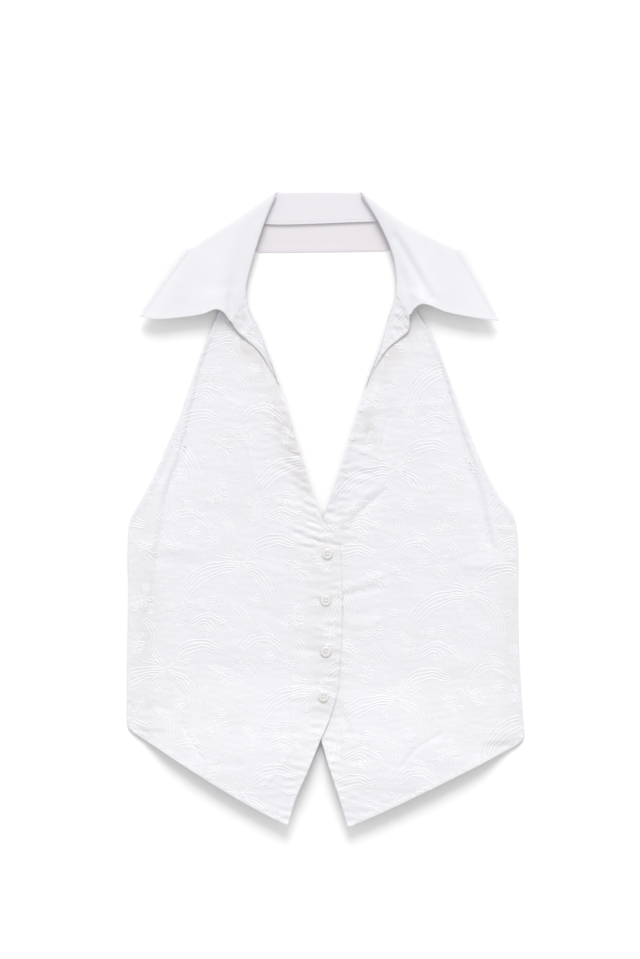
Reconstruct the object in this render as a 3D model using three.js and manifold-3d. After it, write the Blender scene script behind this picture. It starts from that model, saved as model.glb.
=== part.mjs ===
// Halter neck top in white embroidered cotton, laid flat with its front up.
// Millimetres. +X is to the right of the laid garment, +Y towards its collar, +Z up from the table.
// The back panel and the back of the collar rest on z = 0. The fronts lie over the back panel,
// the left one on top at the placket, and the pointed collar lies over the tops of the fronts.
import * as THREE from 'three';
import { mergeVertices } from 'three/addons/utils/BufferGeometryUtils.js';
import Module from 'manifold-3d';

// Driving dimensions
const FRONT_WALL = 1.4; // embroidered cotton with its turned hems
const BACK_WALL = 1.2;
const COLLAR_WALL = 1.5; // two layers of poplin and an interlining
const SEAM_GAP = 0.3;
const ROLL_GAP = 0.6; // between the middles of stand and fall, whose cut edges lean together
const LAP_GAP = 0.45; // between the two fronts at the placket
const LOFT = 2.0; // how far the fronts stand proud of the back panel
const LOFT_REACH = 62; // from the side seam inwards
const HEM_LIFT = 8.5; // the hem and its points curl up from the table
const HEM_LIFT_TOP = -205;
const HEM_LIFT_BOTTOM = -290;
const HEM_LIFT_REACH = 42; // from the side seam inwards
const BUTTON_DIAMETER = 11.4;
const BUTTON_THICKNESS = 2.6;
const BUTTON_HOLES = 4;
const HOLE_DIAMETER = 1.4;
const HOLE_CIRCLE = 1.5; // from the button's middle to a hole's
const ROLL_RADIUS = 1.4; // where stand and fall turn upright along the roll line

// Levels of the middle of each cloth above the table
const BACK_LEVEL = BACK_WALL / 2;
const SIDE_LEVEL = BACK_WALL + SEAM_GAP + FRONT_WALL / 2;
const NECK_RISE = 2.6; // the shoulder straps climb to the collar seam
const NECK_RISE_BOTTOM = 175;
const NECK_RISE_TOP = 232;
const LAP_LEFT = -58; // where the left front begins to climb over the right one
const LAP_RIGHT = -26;
const LAP_TOP = 26;
const LAP_BOTTOM = -4;
const FOLD_FADE = 20; // folds die out this far from the side
const STAND_FRONT_LEVEL = 5.9; // below a leaf
const STRAP_LEVEL = 5.2; // where a strap is sewn to the stand
const LEAF_LEVEL = 8.3; // beside the roll line
const ROLL_MEET_FRONT = 7.1; // the seam of stand and fall at the roll line
const ROLL_MEET_BACK = 2.1;

// Steps of the meshes
const FRONT_ROWS = 32;
const FRONT_COLUMNS = 18;
const BACK_ROWS = 8;
const BACK_COLUMNS = 14;
const FACING_ROWS = 12;
const FACING_COLUMNS = 4;
const LEAF_STEPS = 9;
const TURN_STEPS = 6;
const NECK_STEPS = 6;
const FALL_ACROSS = 9;
const STAND_ACROSS = 4;
const ROLL_STEPS = 3;
const BUTTON_SIDES = 20;
const HOLE_SIDES = 8;
const MERGE_STEP = 1e-4;
const SAG_LEAN = 1.5; // the hem sags most towards its point

// Outline of the left front: each row runs from the armhole, side seam or hem corner to the
// neck or front edge, and near the hem it sags below a straight line.
const LEFT_FRONT = [
  { outX: -101, outY: 238, inX: -84.5, inY: 222.2 },
  { outX: -112, outY: 207.5, inX: -79, inY: 205 },
  { outX: -123.5, outY: 179.5, inX: -67.5, inY: 181 },
  { outX: -133.5, outY: 153.5, inX: -57, inY: 156 },
  { outX: -151.5, outY: 99.5, inX: -40, inY: 105 },
  { outX: -165.5, outY: 66, inX: -29, inY: 68 },
  { outX: -177.5, outY: 38.5, inX: -18.5, inY: 34 },
  { outX: -191.5, outY: 10.5, inX: -9, inY: 4 },
  { outX: -204.5, outY: -12, inX: -2.5, inY: -11.5 },
  { outX: -207.2, outY: -38, inX: 13, inY: -36 },
  { outX: -207, outY: -87, inX: 17.5, inY: -82 },
  { outX: -207.5, outY: -127, inX: 17, inY: -130 },
  { outX: -208, outY: -165, inX: 15, inY: -165 },
  { outX: -208.2, outY: -188, inX: 13, inY: -190 },
  { outX: -208.4, outY: -204, inX: 4, inY: -221 },
  { outX: -208.4, outY: -215, inX: -7, inY: -246 },
  { outX: -208.2, outY: -223, inX: -18.5, inY: -274, sag: 0.5 },
  { outX: -207, outY: -229, inX: -31, inY: -302, sag: 1.5 },
  { outX: -203.5, outY: -233.5, inX: -39.5, inY: -331, sag: 3.5 },
];

// The right front goes under the left one at the placket.
const RIGHT_FRONT = [
  { outX: 88, outY: 238, inX: 74.5, inY: 222.2 },
  { outX: 96, outY: 207.5, inX: 68, inY: 205 },
  { outX: 110.5, outY: 184, inX: 61, inY: 181 },
  { outX: 122.5, outY: 156.5, inX: 52, inY: 156 },
  { outX: 141, outY: 105, inX: 35, inY: 105 },
  { outX: 155, outY: 68, inX: 23.5, inY: 68 },
  { outX: 169, outY: 36, inX: 12.5, inY: 34 },
  { outX: 184, outY: 9.5, inX: 3, inY: 4 },
  { outX: 196, outY: -5, inX: -3, inY: -11.5 },
  { outX: 200.5, outY: -22, inX: -14, inY: -32 },
  { outX: 202, outY: -50, inX: -17.5, inY: -62 },
  { outX: 202, outY: -92, inX: -17.5, inY: -100 },
  { outX: 203, outY: -149, inX: -17.5, inY: -150 },
  { outX: 205, outY: -190, inX: -15, inY: -190 },
  { outX: 206.4, outY: -212, inX: -9, inY: -224 },
  { outX: 207.4, outY: -225, inX: 0, inY: -258 },
  { outX: 208.2, outY: -234, inX: 8.5, inY: -285, sag: 0.3 },
  { outX: 207, outY: -242, inX: 17, inY: -311, sag: 0.8 },
  { outX: 201, outY: -248, inX: 23.5, inY: -333, sag: 1.8 },
];

// Soft folds in the laid fronts, as straight troughs (depth under 0) and ridges.
const FRONT_FOLDS = [
  { fromX: -122, fromY: 175, toX: -148, toY: 66, width: 9, depth: -1.0 },
  { fromX: -150, fromY: 60, toX: -176, toY: -50, width: 10, depth: -0.9 },
  { fromX: -92, fromY: 104, toX: -80, toY: 24, width: 14, depth: 1.0 },
  { fromX: -186, fromY: -40, toX: -142, toY: -44, width: 7, depth: 0.8 },
  { fromX: 121, fromY: 152, toX: 147, toY: 56, width: 9, depth: -1.0 },
  { fromX: 152, fromY: 45, toX: 172, toY: -36, width: 10, depth: -0.9 },
  { fromX: 186, fromY: -57, toX: 150, toY: -59, width: 7, depth: 0.8 },
  { fromX: 31, fromY: -12, toX: 55, toY: 10, width: 8, depth: -0.7 },
  { fromX: -110, fromY: -262, toX: -104, toY: -200, width: 16, depth: 0.9 },
  { fromX: 78, fromY: -282, toX: 96, toY: -210, width: 16, depth: 0.9 },
];

// The turned out facings: each row runs from the neck edge to the free edge of the lapel.
const LEFT_LAPEL = [
  { neckX: -83.8, neckY: 221, freeX: -98.7, freeY: 195.6, neckRise: 1.1, freeRise: 4.2 },
  { neckX: -79, neckY: 206, freeX: -92.5, freeY: 186, neckRise: 0.5, freeRise: 4.4 },
  { neckX: -71, neckY: 191, freeX: -82.5, freeY: 177, neckRise: 0.1, freeRise: 3.8 },
  { neckX: -63.5, neckY: 172, freeX: -70, freeY: 165.5, neckRise: 0, freeRise: 3.0 },
  { neckX: -56.5, neckY: 154, freeX: -60.5, freeY: 151, neckRise: 0, freeRise: 1.8 },
  { neckX: -49, neckY: 132, freeX: -50.6, freeY: 131.6, neckRise: 0, freeRise: 0.4 },
];
const RIGHT_LAPEL = [
  { neckX: 73.9, neckY: 221, freeX: 88.2, freeY: 202.3, neckRise: 1.1, freeRise: 4.2 },
  { neckX: 69, neckY: 208, freeX: 87, freeY: 187.5, neckRise: 0.5, freeRise: 4.6 },
  { neckX: 63.5, neckY: 191, freeX: 78, freeY: 178.5, neckRise: 0.1, freeRise: 4.0 },
  { neckX: 57.5, neckY: 171, freeX: 66, freeY: 169, neckRise: 0, freeRise: 3.0 },
  { neckX: 50.5, neckY: 153, freeX: 55.5, freeY: 154, neckRise: 0, freeRise: 1.8 },
  { neckX: 42, neckY: 130, freeX: 44, freeY: 131, neckRise: 0, freeRise: 0.4 },
];

// Back panel, hidden by the fronts: each row runs from side seam to side seam and sags between.
const BACK_PANEL = [
  { leftX: -203, rightX: 196, sideY: -16, sag: 3 },
  { leftX: -206, rightX: 200.5, sideY: -60, sag: 2 },
  { leftX: -206.5, rightX: 202, sideY: -130, sag: 1 },
  { leftX: -207, rightX: 204, sideY: -190, sag: 1 },
  { leftX: -207, rightX: 206, sideY: -226, sag: 2 },
];

// Roll line of the collar at each side, from its end at the lapel up to the back neck, with the
// lower edge of the stand below it.
const LEFT_ROLL = [
  { rollX: -84, rollY: 223.6, edgeX: -87.5, edgeY: 226.2 },
  { rollX: -84.2, rollY: 231, edgeX: -94, edgeY: 232.5 },
  { rollX: -82, rollY: 243, edgeX: -101.5, edgeY: 241 },
  { rollX: -74.5, rollY: 270, edgeX: -103, edgeY: 262 },
  { rollX: -65, rollY: 299, edgeX: -97.5, edgeY: 286 },
];
const RIGHT_ROLL = [
  { rollX: 74.5, rollY: 223.6, edgeX: 77.5, edgeY: 227.3 },
  { rollX: 75, rollY: 231, edgeX: 83.1, edgeY: 234 },
  { rollX: 75, rollY: 241, edgeX: 89.4, edgeY: 242.4 },
  { rollX: 71, rollY: 266, edgeX: 96, edgeY: 262 },
  { rollX: 58, rollY: 297, edgeX: 94, edgeY: 286 },
];

// Front edge of each collar leaf, from the roll line along the seam of the lapel to the notch,
// then over an arch to the point. Height is that of the cloth's middle above the table.
const LEFT_LEAF_EDGE = [
  { x: -84.5, y: 222.4, height: 8.0 },
  { x: -92, y: 209, height: 8.3 },
  { x: -99.4, y: 196.8, height: 8.6 },
  { x: -106.5, y: 205.5, height: 12.5 },
  { x: -114, y: 208.8, height: 15.5 },
  { x: -128, y: 204, height: 13.5 },
  { x: -146, y: 201, height: 12.5 },
  { x: -178, y: 198.6, height: 13.5 },
  { x: -195, y: 201.6, height: 14.5 },
];
const RIGHT_LEAF_EDGE = [
  { x: 75, y: 222.4, height: 8.0 },
  { x: 82, y: 212, height: 8.6 },
  { x: 88.6, y: 203.6, height: 9.6 },
  { x: 93.5, y: 210, height: 12.5 },
  { x: 101, y: 214.2, height: 15.5 },
  { x: 111, y: 212, height: 14.5 },
  { x: 124, y: 206.6, height: 13 },
  { x: 156, y: 200, height: 13.5 },
  { x: 181.5, y: 196.8, height: 14.5 },
];

// Where the collar turns round from the back of the neck to each leaf: a line from the roll line
// to the edge. Tops and bottoms are heights of the cloth's middle, insets lie inside the line,
// hollow is how far the line bends inwards at its middle, and bulges are how far the turn is
// round in plan.
const FALL_TURN = {
  rollTop: 8,
  outerTop: 12,
  rollBottom: COLLAR_WALL / 2,
  outerBottom: COLLAR_WALL / 2,
  rollBulge: 1.2,
  outerBulge: 3.2,
};
const STAND_TURN = {
  rollTop: STAND_FRONT_LEVEL,
  outerTop: STAND_FRONT_LEVEL,
  rollBottom: 3.2,
  outerBottom: 4.0,
  rollInset: 2.3,
  rollBulge: 0.6,
  outerBulge: 1.6,
};
const LEFT_TURN = {
  ...FALL_TURN,
  rollX: -52.6,
  rollY: 332.2,
  outerX: -142,
  outerY: 273.4,
  hollow: 1,
  topEdgeRuns: new THREE.Vector2(-53, -72).normalize(),
  bottomEdgeRuns: new THREE.Vector2(1, 0),
};
const RIGHT_TURN = {
  ...FALL_TURN,
  rollX: 38.2,
  rollY: 332.2,
  outerX: 137,
  outerY: 272.8,
  hollow: 4.5,
  topEdgeRuns: new THREE.Vector2(44.5, -76).normalize(),
  bottomEdgeRuns: new THREE.Vector2(-1, 0),
};
const LEFT_STAND_TURN = {
  ...STAND_TURN,
  rollX: -53.8,
  rollY: 331.6,
  outerX: -94.3,
  outerY: 304.8,
  outerInset: 5.4,
};
const RIGHT_STAND_TURN = {
  ...STAND_TURN,
  rollX: 39.4,
  rollY: 331.6,
  outerX: 79,
  outerY: 307.7,
  outerInset: 8.4,
};
// Free edge of each leaf between its point and the turn: how far it bows out of a straight line.
const LEAF_EDGE_BOW = 1.5;
const FALL_BACK_EDGE_Y = 271.6;
const STAND_BACK_EDGE_Y = 300.6;
const NECK_TOP_Y = 332.2;
const NECK_SQUARENESS = 0.25; // how soon the back neck runs straight beside a turn

const BUTTONS = [
  { x: 2, y: -47 },
  { x: 0.2, y: -96 },
  { x: 0.4, y: -149.5 },
  { x: -2, y: -196.5 },
];

const wasm = await Module();
wasm.setup();

const group = new THREE.Group();
const embroidered = { color: 0xf4f4f3, roughness: 0.9, metalness: 0 };
const poplin = { color: 0xf5f6f8, roughness: 0.8, metalness: 0 };
const pearl = { color: 0xe9e6e0, roughness: 0.25, metalness: 0 };

function addPiece(name, geometry, finish) {
  const mesh = new THREE.Mesh(geometry, new THREE.MeshStandardMaterial(finish));
  mesh.name = name;
  group.add(mesh);
  return mesh;
}

const { lerp, smoothstep } = THREE.MathUtils;

function smoothCurve(points) {
  return new THREE.CatmullRomCurve3(points, false, 'centripetal');
}

// A smooth curve through the points that two or three named columns give.
function curveThrough(rows, xName, yName, heightName) {
  return smoothCurve(rows.map((row) => new THREE.Vector3(row[xName], row[yName], row[heightName] ?? 0)));
}

// A named column of a table at a share of its rows, 0 where a row leaves it out.
function fromTable(rows, name, share) {
  const place = share * (rows.length - 1);
  const index = Math.min(Math.floor(place), rows.length - 2);
  return lerp(rows[index][name] ?? 0, rows[index + 1][name] ?? 0, place - index);
}

// Shares of a table's rows, spread so that the steps between them are even in length.
function evenShares(rows, xName, yName, steps) {
  const reach = [0];
  for (let i = 1; i < rows.length; i++) {
    const step = Math.hypot(rows[i][xName] - rows[i - 1][xName], rows[i][yName] - rows[i - 1][yName]);
    reach.push(reach[i - 1] + step);
  }
  const total = reach[rows.length - 1];
  return Array.from({ length: steps + 1 }, (_, k) => {
    const goal = (total * k) / steps;
    let i = 1;
    while (i < rows.length - 1 && reach[i] < goal) i++;
    return (i - 1 + (goal - reach[i - 1]) / (reach[i] - reach[i - 1])) / (rows.length - 1);
  });
}

// A closed wall of even thickness on both sides of a grid of points. Cloth that lies flat is
// thickened straight up and down, and cloth that folds over along its own normals.
function wallOnGrid(grid, thickness, liesFlat) {
  const rows = grid.length;
  const columns = grid[0].length;
  const normalAt = (i, j) => {
    if (liesFlat) return new THREE.Vector3(0, 0, 1);
    const down = grid[Math.min(i + 1, rows - 1)][j].clone().sub(grid[Math.max(i - 1, 0)][j]);
    const over = grid[i][Math.min(j + 1, columns - 1)].clone().sub(grid[i][Math.max(j - 1, 0)]);
    return down.cross(over).normalize();
  };
  const positions = [];
  for (const side of [0.5, -0.5]) {
    for (let i = 0; i < rows; i++) {
      for (let j = 0; j < columns; j++) {
        const point = grid[i][j].clone().addScaledVector(normalAt(i, j), side * thickness);
        positions.push(point.x, point.y, point.z);
      }
    }
  }
  const layer = rows * columns;
  const upper = (i, j) => i * columns + j;
  const lower = (i, j) => layer + i * columns + j;
  const faces = [];
  const quad = (a, b, c, d) => faces.push(a, b, c, a, c, d);
  for (let i = 0; i < rows - 1; i++) {
    for (let j = 0; j < columns - 1; j++) {
      quad(upper(i, j), upper(i + 1, j), upper(i + 1, j + 1), upper(i, j + 1));
      quad(lower(i, j), lower(i, j + 1), lower(i + 1, j + 1), lower(i + 1, j));
    }
  }
  for (let i = 0; i < rows - 1; i++) {
    const last = columns - 1;
    quad(upper(i, 0), lower(i, 0), lower(i + 1, 0), upper(i + 1, 0));
    quad(upper(i, last), upper(i + 1, last), lower(i + 1, last), lower(i, last));
  }
  for (let j = 0; j < columns - 1; j++) {
    const last = rows - 1;
    quad(upper(0, j), upper(0, j + 1), lower(0, j + 1), lower(0, j));
    quad(upper(last, j), lower(last, j), lower(last, j + 1), upper(last, j + 1));
  }
  return outward(positions, faces);
}

// Turns the faces round where the closed surface would enclose a negative volume.
function outward(positions, faces) {
  let volume = 0;
  const corner = (k) => new THREE.Vector3().fromArray(positions, 3 * faces[k]);
  for (let k = 0; k < faces.length; k += 3) {
    volume += corner(k).dot(corner(k + 1).cross(corner(k + 2)));
  }
  if (volume < 0) {
    for (let k = 0; k < faces.length; k += 3) {
      [faces[k + 1], faces[k + 2]] = [faces[k + 2], faces[k + 1]];
    }
  }
  const geometry = new THREE.BufferGeometry();
  geometry.setAttribute('position', new THREE.Float32BufferAttribute(positions, 3));
  geometry.setIndex(faces);
  return geometry;
}

// Half width of the laid fronts at a height of the garment: the armhole above, the seam below.
function sideReach(rows, y) {
  let i = 1;
  while (i < rows.length - 1 && rows[i].outY > y) i++;
  const above = rows[i - 1];
  const below = rows[i];
  const part = THREE.MathUtils.clamp((above.outY - y) / (above.outY - below.outY), 0, 1);
  return Math.abs(lerp(above.outX, below.outX, part));
}

function foldHeight(x, y) {
  let height = 0;
  for (const fold of FRONT_FOLDS) {
    const dx = fold.toX - fold.fromX;
    const dy = fold.toY - fold.fromY;
    const along = ((x - fold.fromX) * dx + (y - fold.fromY) * dy) / (dx * dx + dy * dy);
    const near = THREE.MathUtils.clamp(along, 0, 1);
    const off = Math.hypot(x - fold.fromX - near * dx, y - fold.fromY - near * dy);
    height += fold.depth * Math.exp(-((off / fold.width) ** 2));
  }
  return height;
}

// Height of the middle of the front cloth, the same for both fronts where they overlap.
function frontHeight(x, y) {
  const rows = x < 0 ? LEFT_FRONT : RIGHT_FRONT;
  const inward = sideReach(rows, y) - Math.abs(x);
  const loft = LOFT * smoothstep(inward, 0, LOFT_REACH);
  const curl = smoothstep(-y, -HEM_LIFT_TOP, -HEM_LIFT_BOTTOM);
  const hem = HEM_LIFT * curl * smoothstep(inward, 0, HEM_LIFT_REACH);
  const neck = NECK_RISE * smoothstep(y, NECK_RISE_BOTTOM, NECK_RISE_TOP);
  return SIDE_LEVEL + loft + hem + neck + foldHeight(x, y) * smoothstep(inward, 0, FOLD_FADE);
}

const LAP_STEP = FRONT_WALL + LAP_GAP;

// The left front climbs over the right one beside the placket.
function lapRise(x, y) {
  return LAP_STEP * smoothstep(x, LAP_LEFT, LAP_RIGHT) * smoothstep(-y, -LAP_TOP, -LAP_BOTTOM);
}

function frontGrid(rows, isLeft) {
  const outer = curveThrough(rows, 'outX', 'outY');
  const inner = curveThrough(rows, 'inX', 'inY');
  return evenShares(rows, 'inX', 'inY', FRONT_ROWS).map((share) => {
    const from = outer.getPoint(share);
    const to = inner.getPoint(share);
    const sag = fromTable(rows, 'sag', share);
    return Array.from({ length: FRONT_COLUMNS + 1 }, (_, j) => {
      const across = j / FRONT_COLUMNS;
      const point = from.clone().lerp(to, across);
      point.y -= sag * Math.sin(Math.PI * across ** SAG_LEAN);
      point.z = frontHeight(point.x, point.y) + (isLeft ? lapRise(point.x, point.y) : 0);
      return point;
    });
  });
}

// The facing starts on the front's neck edge, a wall above it, and its free edge stands up.
function lapelGrid(rows, isLeft) {
  const neck = curveThrough(rows, 'neckX', 'neckY', 'neckRise');
  const free = curveThrough(rows, 'freeX', 'freeY', 'freeRise');
  return Array.from({ length: FACING_ROWS + 1 }, (_, i) => {
    const share = i / FACING_ROWS;
    const from = neck.getPoint(share);
    const to = free.getPoint(share);
    return Array.from({ length: FACING_COLUMNS + 1 }, (_, j) => {
      const across = j / FACING_COLUMNS;
      const point = from.clone().lerp(to, across);
      const bulge = Math.sin((across * Math.PI) / 2);
      const rise = lerp(from.z, to.z, bulge);
      const under = frontHeight(point.x, point.y) + (isLeft ? lapRise(point.x, point.y) : 0);
      point.z = under + FRONT_WALL + SEAM_GAP + rise;
      return point;
    });
  });
}

function backGrid() {
  const left = curveThrough(BACK_PANEL, 'leftX', 'sideY');
  const right = curveThrough(BACK_PANEL, 'rightX', 'sideY');
  return Array.from({ length: BACK_ROWS + 1 }, (_, i) => {
    const share = i / BACK_ROWS;
    const from = left.getPoint(share);
    const to = right.getPoint(share);
    const sag = fromTable(BACK_PANEL, 'sag', share);
    return Array.from({ length: BACK_COLUMNS + 1 }, (_, j) => {
      const across = j / BACK_COLUMNS;
      const point = from.clone().lerp(to, across);
      point.y -= sag * Math.sin(across * Math.PI);
      point.z = BACK_LEVEL;
      return point;
    });
  });
}

// A line of collar cloth across, from the roll to the edge. It starts upright at the roll, where
// fall and stand are sewn together, and turns to its own level within the roll's radius.
function acrossLine(pointAt, meetHeight, steps) {
  const length = pointAt(0).distanceTo(pointAt(1));
  const line = [];
  for (let k = 0; k < ROLL_STEPS; k++) {
    const angle = ((k / ROLL_STEPS) * Math.PI) / 2;
    const point = pointAt((ROLL_RADIUS * (1 - Math.cos(angle))) / length);
    point.z = lerp(meetHeight, point.z, Math.sin(angle));
    line.push(point);
  }
  for (let k = 0; k <= steps; k++) line.push(pointAt(lerp(ROLL_RADIUS / length, 1, k / steps)));
  return line;
}

// How far the cloth's edge slides along a turn's line before it runs on in its own direction.
function edgeSlide(inset, along, inward, direction) {
  return (inset * direction.dot(along)) / direction.dot(inward);
}

// A point of cloth in the turn from leaf to back neck: angle 0 is on top and PI underneath.
function turnPoint(turn, reach, angle) {
  const line = new THREE.Vector2(turn.outerX - turn.rollX, turn.outerY - turn.rollY);
  const along = line.clone().normalize();
  const inward = new THREE.Vector2(along.y, -along.x);
  if (inward.y > 0) inward.negate();
  const open = 1 - Math.sin(angle);
  const bulge = lerp(turn.rollBulge, turn.outerBulge, reach) * open;
  const hollow = (turn.hollow ?? 0) * Math.sin(reach * Math.PI);
  const inset = lerp(turn.rollInset ?? 0, turn.outerInset ?? 0, reach) + hollow + bulge;
  const runsTo = angle < Math.PI / 2 ? turn.topEdgeRuns : turn.bottomEdgeRuns;
  const slide = runsTo ? reach * edgeSlide(bulge, along, inward, runsTo) : 0;
  const top = lerp(turn.rollTop, turn.outerTop, Math.sqrt(reach));
  const bottom = lerp(turn.rollBottom, turn.outerBottom, reach);
  return new THREE.Vector3(
    turn.rollX + line.x * reach + inward.x * inset + along.x * slide,
    turn.rollY + line.y * reach + inward.y * inset + along.y * slide,
    (top + bottom) / 2 + ((top - bottom) / 2) * Math.cos(angle),
  );
}

function turnAngles() {
  return Array.from({ length: TURN_STEPS - 1 }, (_, k) => ((k + 1) / TURN_STEPS) * Math.PI);
}

// A leaf as a patch between its front edge, its turn, its roll line and its free edge.
function leafPoint(edge, turn, roll, u, v) {
  const front = edge.getPoint(v);
  const back = turnPoint(turn, v, 0);
  const corners = [edge.getPoint(0), edge.getPoint(1), turnPoint(turn, 0, 0), turnPoint(turn, 1, 0)];
  const inner = roll.getPoint(u);
  const outer = corners[1].clone().lerp(corners[3], u);
  const bow = new THREE.Vector3(corners[3].y - corners[1].y, corners[1].x - corners[3].x, 0).normalize();
  if (bow.y > 0) bow.negate();
  outer.addScaledVector(bow, -LEAF_EDGE_BOW * Math.sin(u * Math.PI));
  const point = front.clone().lerp(back, u);
  point.add(inner.clone().lerp(outer, v));
  point.addScaledVector(corners[0], -(1 - u) * (1 - v));
  point.addScaledVector(corners[1], -(1 - u) * v);
  point.addScaledVector(corners[2], -u * (1 - v));
  return point.addScaledVector(corners[3], -u * v);
}

// The lines of one leaf, from its front edge to its turn.
function leafLines(edgeRows, rollRows, turn) {
  const edge = curveThrough(edgeRows, 'x', 'y', 'height');
  const start = edge.getPoint(0);
  const stop = turnPoint(turn, 0, 0);
  const between = rollRows.slice(1).map((row) => new THREE.Vector3(row.rollX, row.rollY, LEAF_LEVEL));
  const roll = smoothCurve([start, ...between, stop]);
  const meet = ROLL_MEET_FRONT + ROLL_GAP / 2;
  return Array.from({ length: LEAF_STEPS + 1 }, (_, i) => {
    const u = i / LEAF_STEPS;
    return acrossLine((v) => leafPoint(edge, turn, roll, u, v), meet, FALL_ACROSS);
  });
}

function turnLines(turn, meetFront, meetBack, steps) {
  return turnAngles().map((angle) => {
    const meet = lerp(meetFront, meetBack, (1 - Math.cos(angle)) / 2);
    return acrossLine((v) => turnPoint(turn, v, angle), meet, steps);
  });
}

// The lines across the back of the neck, from the left turn to the right one.
function neckLines(leftTurn, rightTurn, edgeY, meet, steps) {
  return Array.from({ length: NECK_STEPS + 1 }, (_, i) => {
    const share = i / NECK_STEPS;
    const inner = Math.sin(share * Math.PI) ** NECK_SQUARENESS;
    return acrossLine((v) => {
      const point = turnPoint(leftTurn, v, Math.PI).lerp(turnPoint(rightTurn, v, Math.PI), share);
      const straight = lerp(NECK_TOP_Y, edgeY, v);
      point.y = lerp(point.y, straight, inner);
      return point;
    }, meet, steps);
  });
}

function fallGrid() {
  const meetFront = ROLL_MEET_FRONT + ROLL_GAP / 2;
  const meetBack = ROLL_MEET_BACK - ROLL_GAP / 2;
  return [
    ...leafLines(LEFT_LEAF_EDGE, LEFT_ROLL, LEFT_TURN),
    ...turnLines(LEFT_TURN, meetFront, meetBack, FALL_ACROSS),
    ...neckLines(LEFT_TURN, RIGHT_TURN, FALL_BACK_EDGE_Y, meetBack, FALL_ACROSS),
    ...turnLines(RIGHT_TURN, meetFront, meetBack, FALL_ACROSS).reverse(),
    ...leafLines(RIGHT_LEAF_EDGE, RIGHT_ROLL, RIGHT_TURN).reverse(),
  ];
}

// The stand below a leaf, from its tapered end at the lapel to its turn.
function standSideLines(rollRows, turn) {
  const vectors = (xName, yName, height) => (
    rollRows.map((row) => new THREE.Vector3(row[xName], row[yName], height))
  );
  const roll = smoothCurve([...vectors('rollX', 'rollY', STAND_FRONT_LEVEL), turnPoint(turn, 0, 0)]);
  const edge = smoothCurve([...vectors('edgeX', 'edgeY', STRAP_LEVEL), turnPoint(turn, 1, 0)]);
  const meet = ROLL_MEET_FRONT - ROLL_GAP / 2;
  return Array.from({ length: LEAF_STEPS + 1 }, (_, i) => {
    const from = roll.getPoint(i / LEAF_STEPS);
    const to = edge.getPoint(i / LEAF_STEPS);
    return acrossLine((v) => from.clone().lerp(to, v), meet, STAND_ACROSS);
  });
}

function standGrid() {
  const meetFront = ROLL_MEET_FRONT - ROLL_GAP / 2;
  const meetBack = ROLL_MEET_BACK + ROLL_GAP / 2;
  return [
    ...standSideLines(LEFT_ROLL, LEFT_STAND_TURN),
    ...turnLines(LEFT_STAND_TURN, meetFront, meetBack, STAND_ACROSS),
    ...neckLines(LEFT_STAND_TURN, RIGHT_STAND_TURN, STAND_BACK_EDGE_Y, meetBack, STAND_ACROSS),
    ...turnLines(RIGHT_STAND_TURN, meetFront, meetBack, STAND_ACROSS).reverse(),
    ...standSideLines(RIGHT_ROLL, RIGHT_STAND_TURN).reverse(),
  ];
}

// Turns a closed mesh into a solid that can be cut.
function toSolid(geometry) {
  const bare = geometry.clone();
  bare.deleteAttribute('normal');
  bare.deleteAttribute('uv');
  const merged = mergeVertices(bare, MERGE_STEP);
  return new wasm.Manifold(new wasm.Mesh({
    numProp: 3,
    vertProperties: new Float32Array(merged.attributes.position.array),
    triVerts: new Uint32Array(merged.index.array),
  }));
}

function toGeometry(solid) {
  const mesh = solid.getMesh();
  const geometry = new THREE.BufferGeometry();
  geometry.setAttribute('position', new THREE.BufferAttribute(new Float32Array(mesh.vertProperties), 3));
  geometry.setIndex(new THREE.BufferAttribute(new Uint32Array(mesh.triVerts), 1));
  return geometry;
}

// A shirt button: a rounded rim, a sunken middle and four holes, its underside at z = 0.
function buttonGeometry() {
  const radius = BUTTON_DIAMETER / 2;
  const profile = [
    { r: 0, z: 0 },
    { r: 0.8 * radius, z: 0 },
    { r: radius, z: 0.35 * BUTTON_THICKNESS },
    { r: radius, z: 0.7 * BUTTON_THICKNESS },
    { r: 0.88 * radius, z: BUTTON_THICKNESS },
    { r: 0.7 * radius, z: BUTTON_THICKNESS },
    { r: 0.56 * radius, z: 0.66 * BUTTON_THICKNESS },
    { r: 0, z: 0.6 * BUTTON_THICKNESS },
  ];
  const lathe = new THREE.LatheGeometry(profile.map(({ r, z }) => new THREE.Vector2(r, z)), BUTTON_SIDES);
  lathe.rotateX(Math.PI / 2);
  let body = toSolid(outward(Array.from(lathe.attributes.position.array), Array.from(lathe.index.array)));
  for (let k = 0; k < BUTTON_HOLES; k++) {
    const angle = ((k + 0.5) / BUTTON_HOLES) * 2 * Math.PI;
    const radius = HOLE_DIAMETER / 2;
    const hole = new THREE.CylinderGeometry(radius, radius, 3 * BUTTON_THICKNESS, HOLE_SIDES);
    hole.rotateX(Math.PI / 2);
    hole.translate(HOLE_CIRCLE * Math.cos(angle), HOLE_CIRCLE * Math.sin(angle), 0);
    body = body.subtract(toSolid(hole));
  }
  return toGeometry(body);
}

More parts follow.
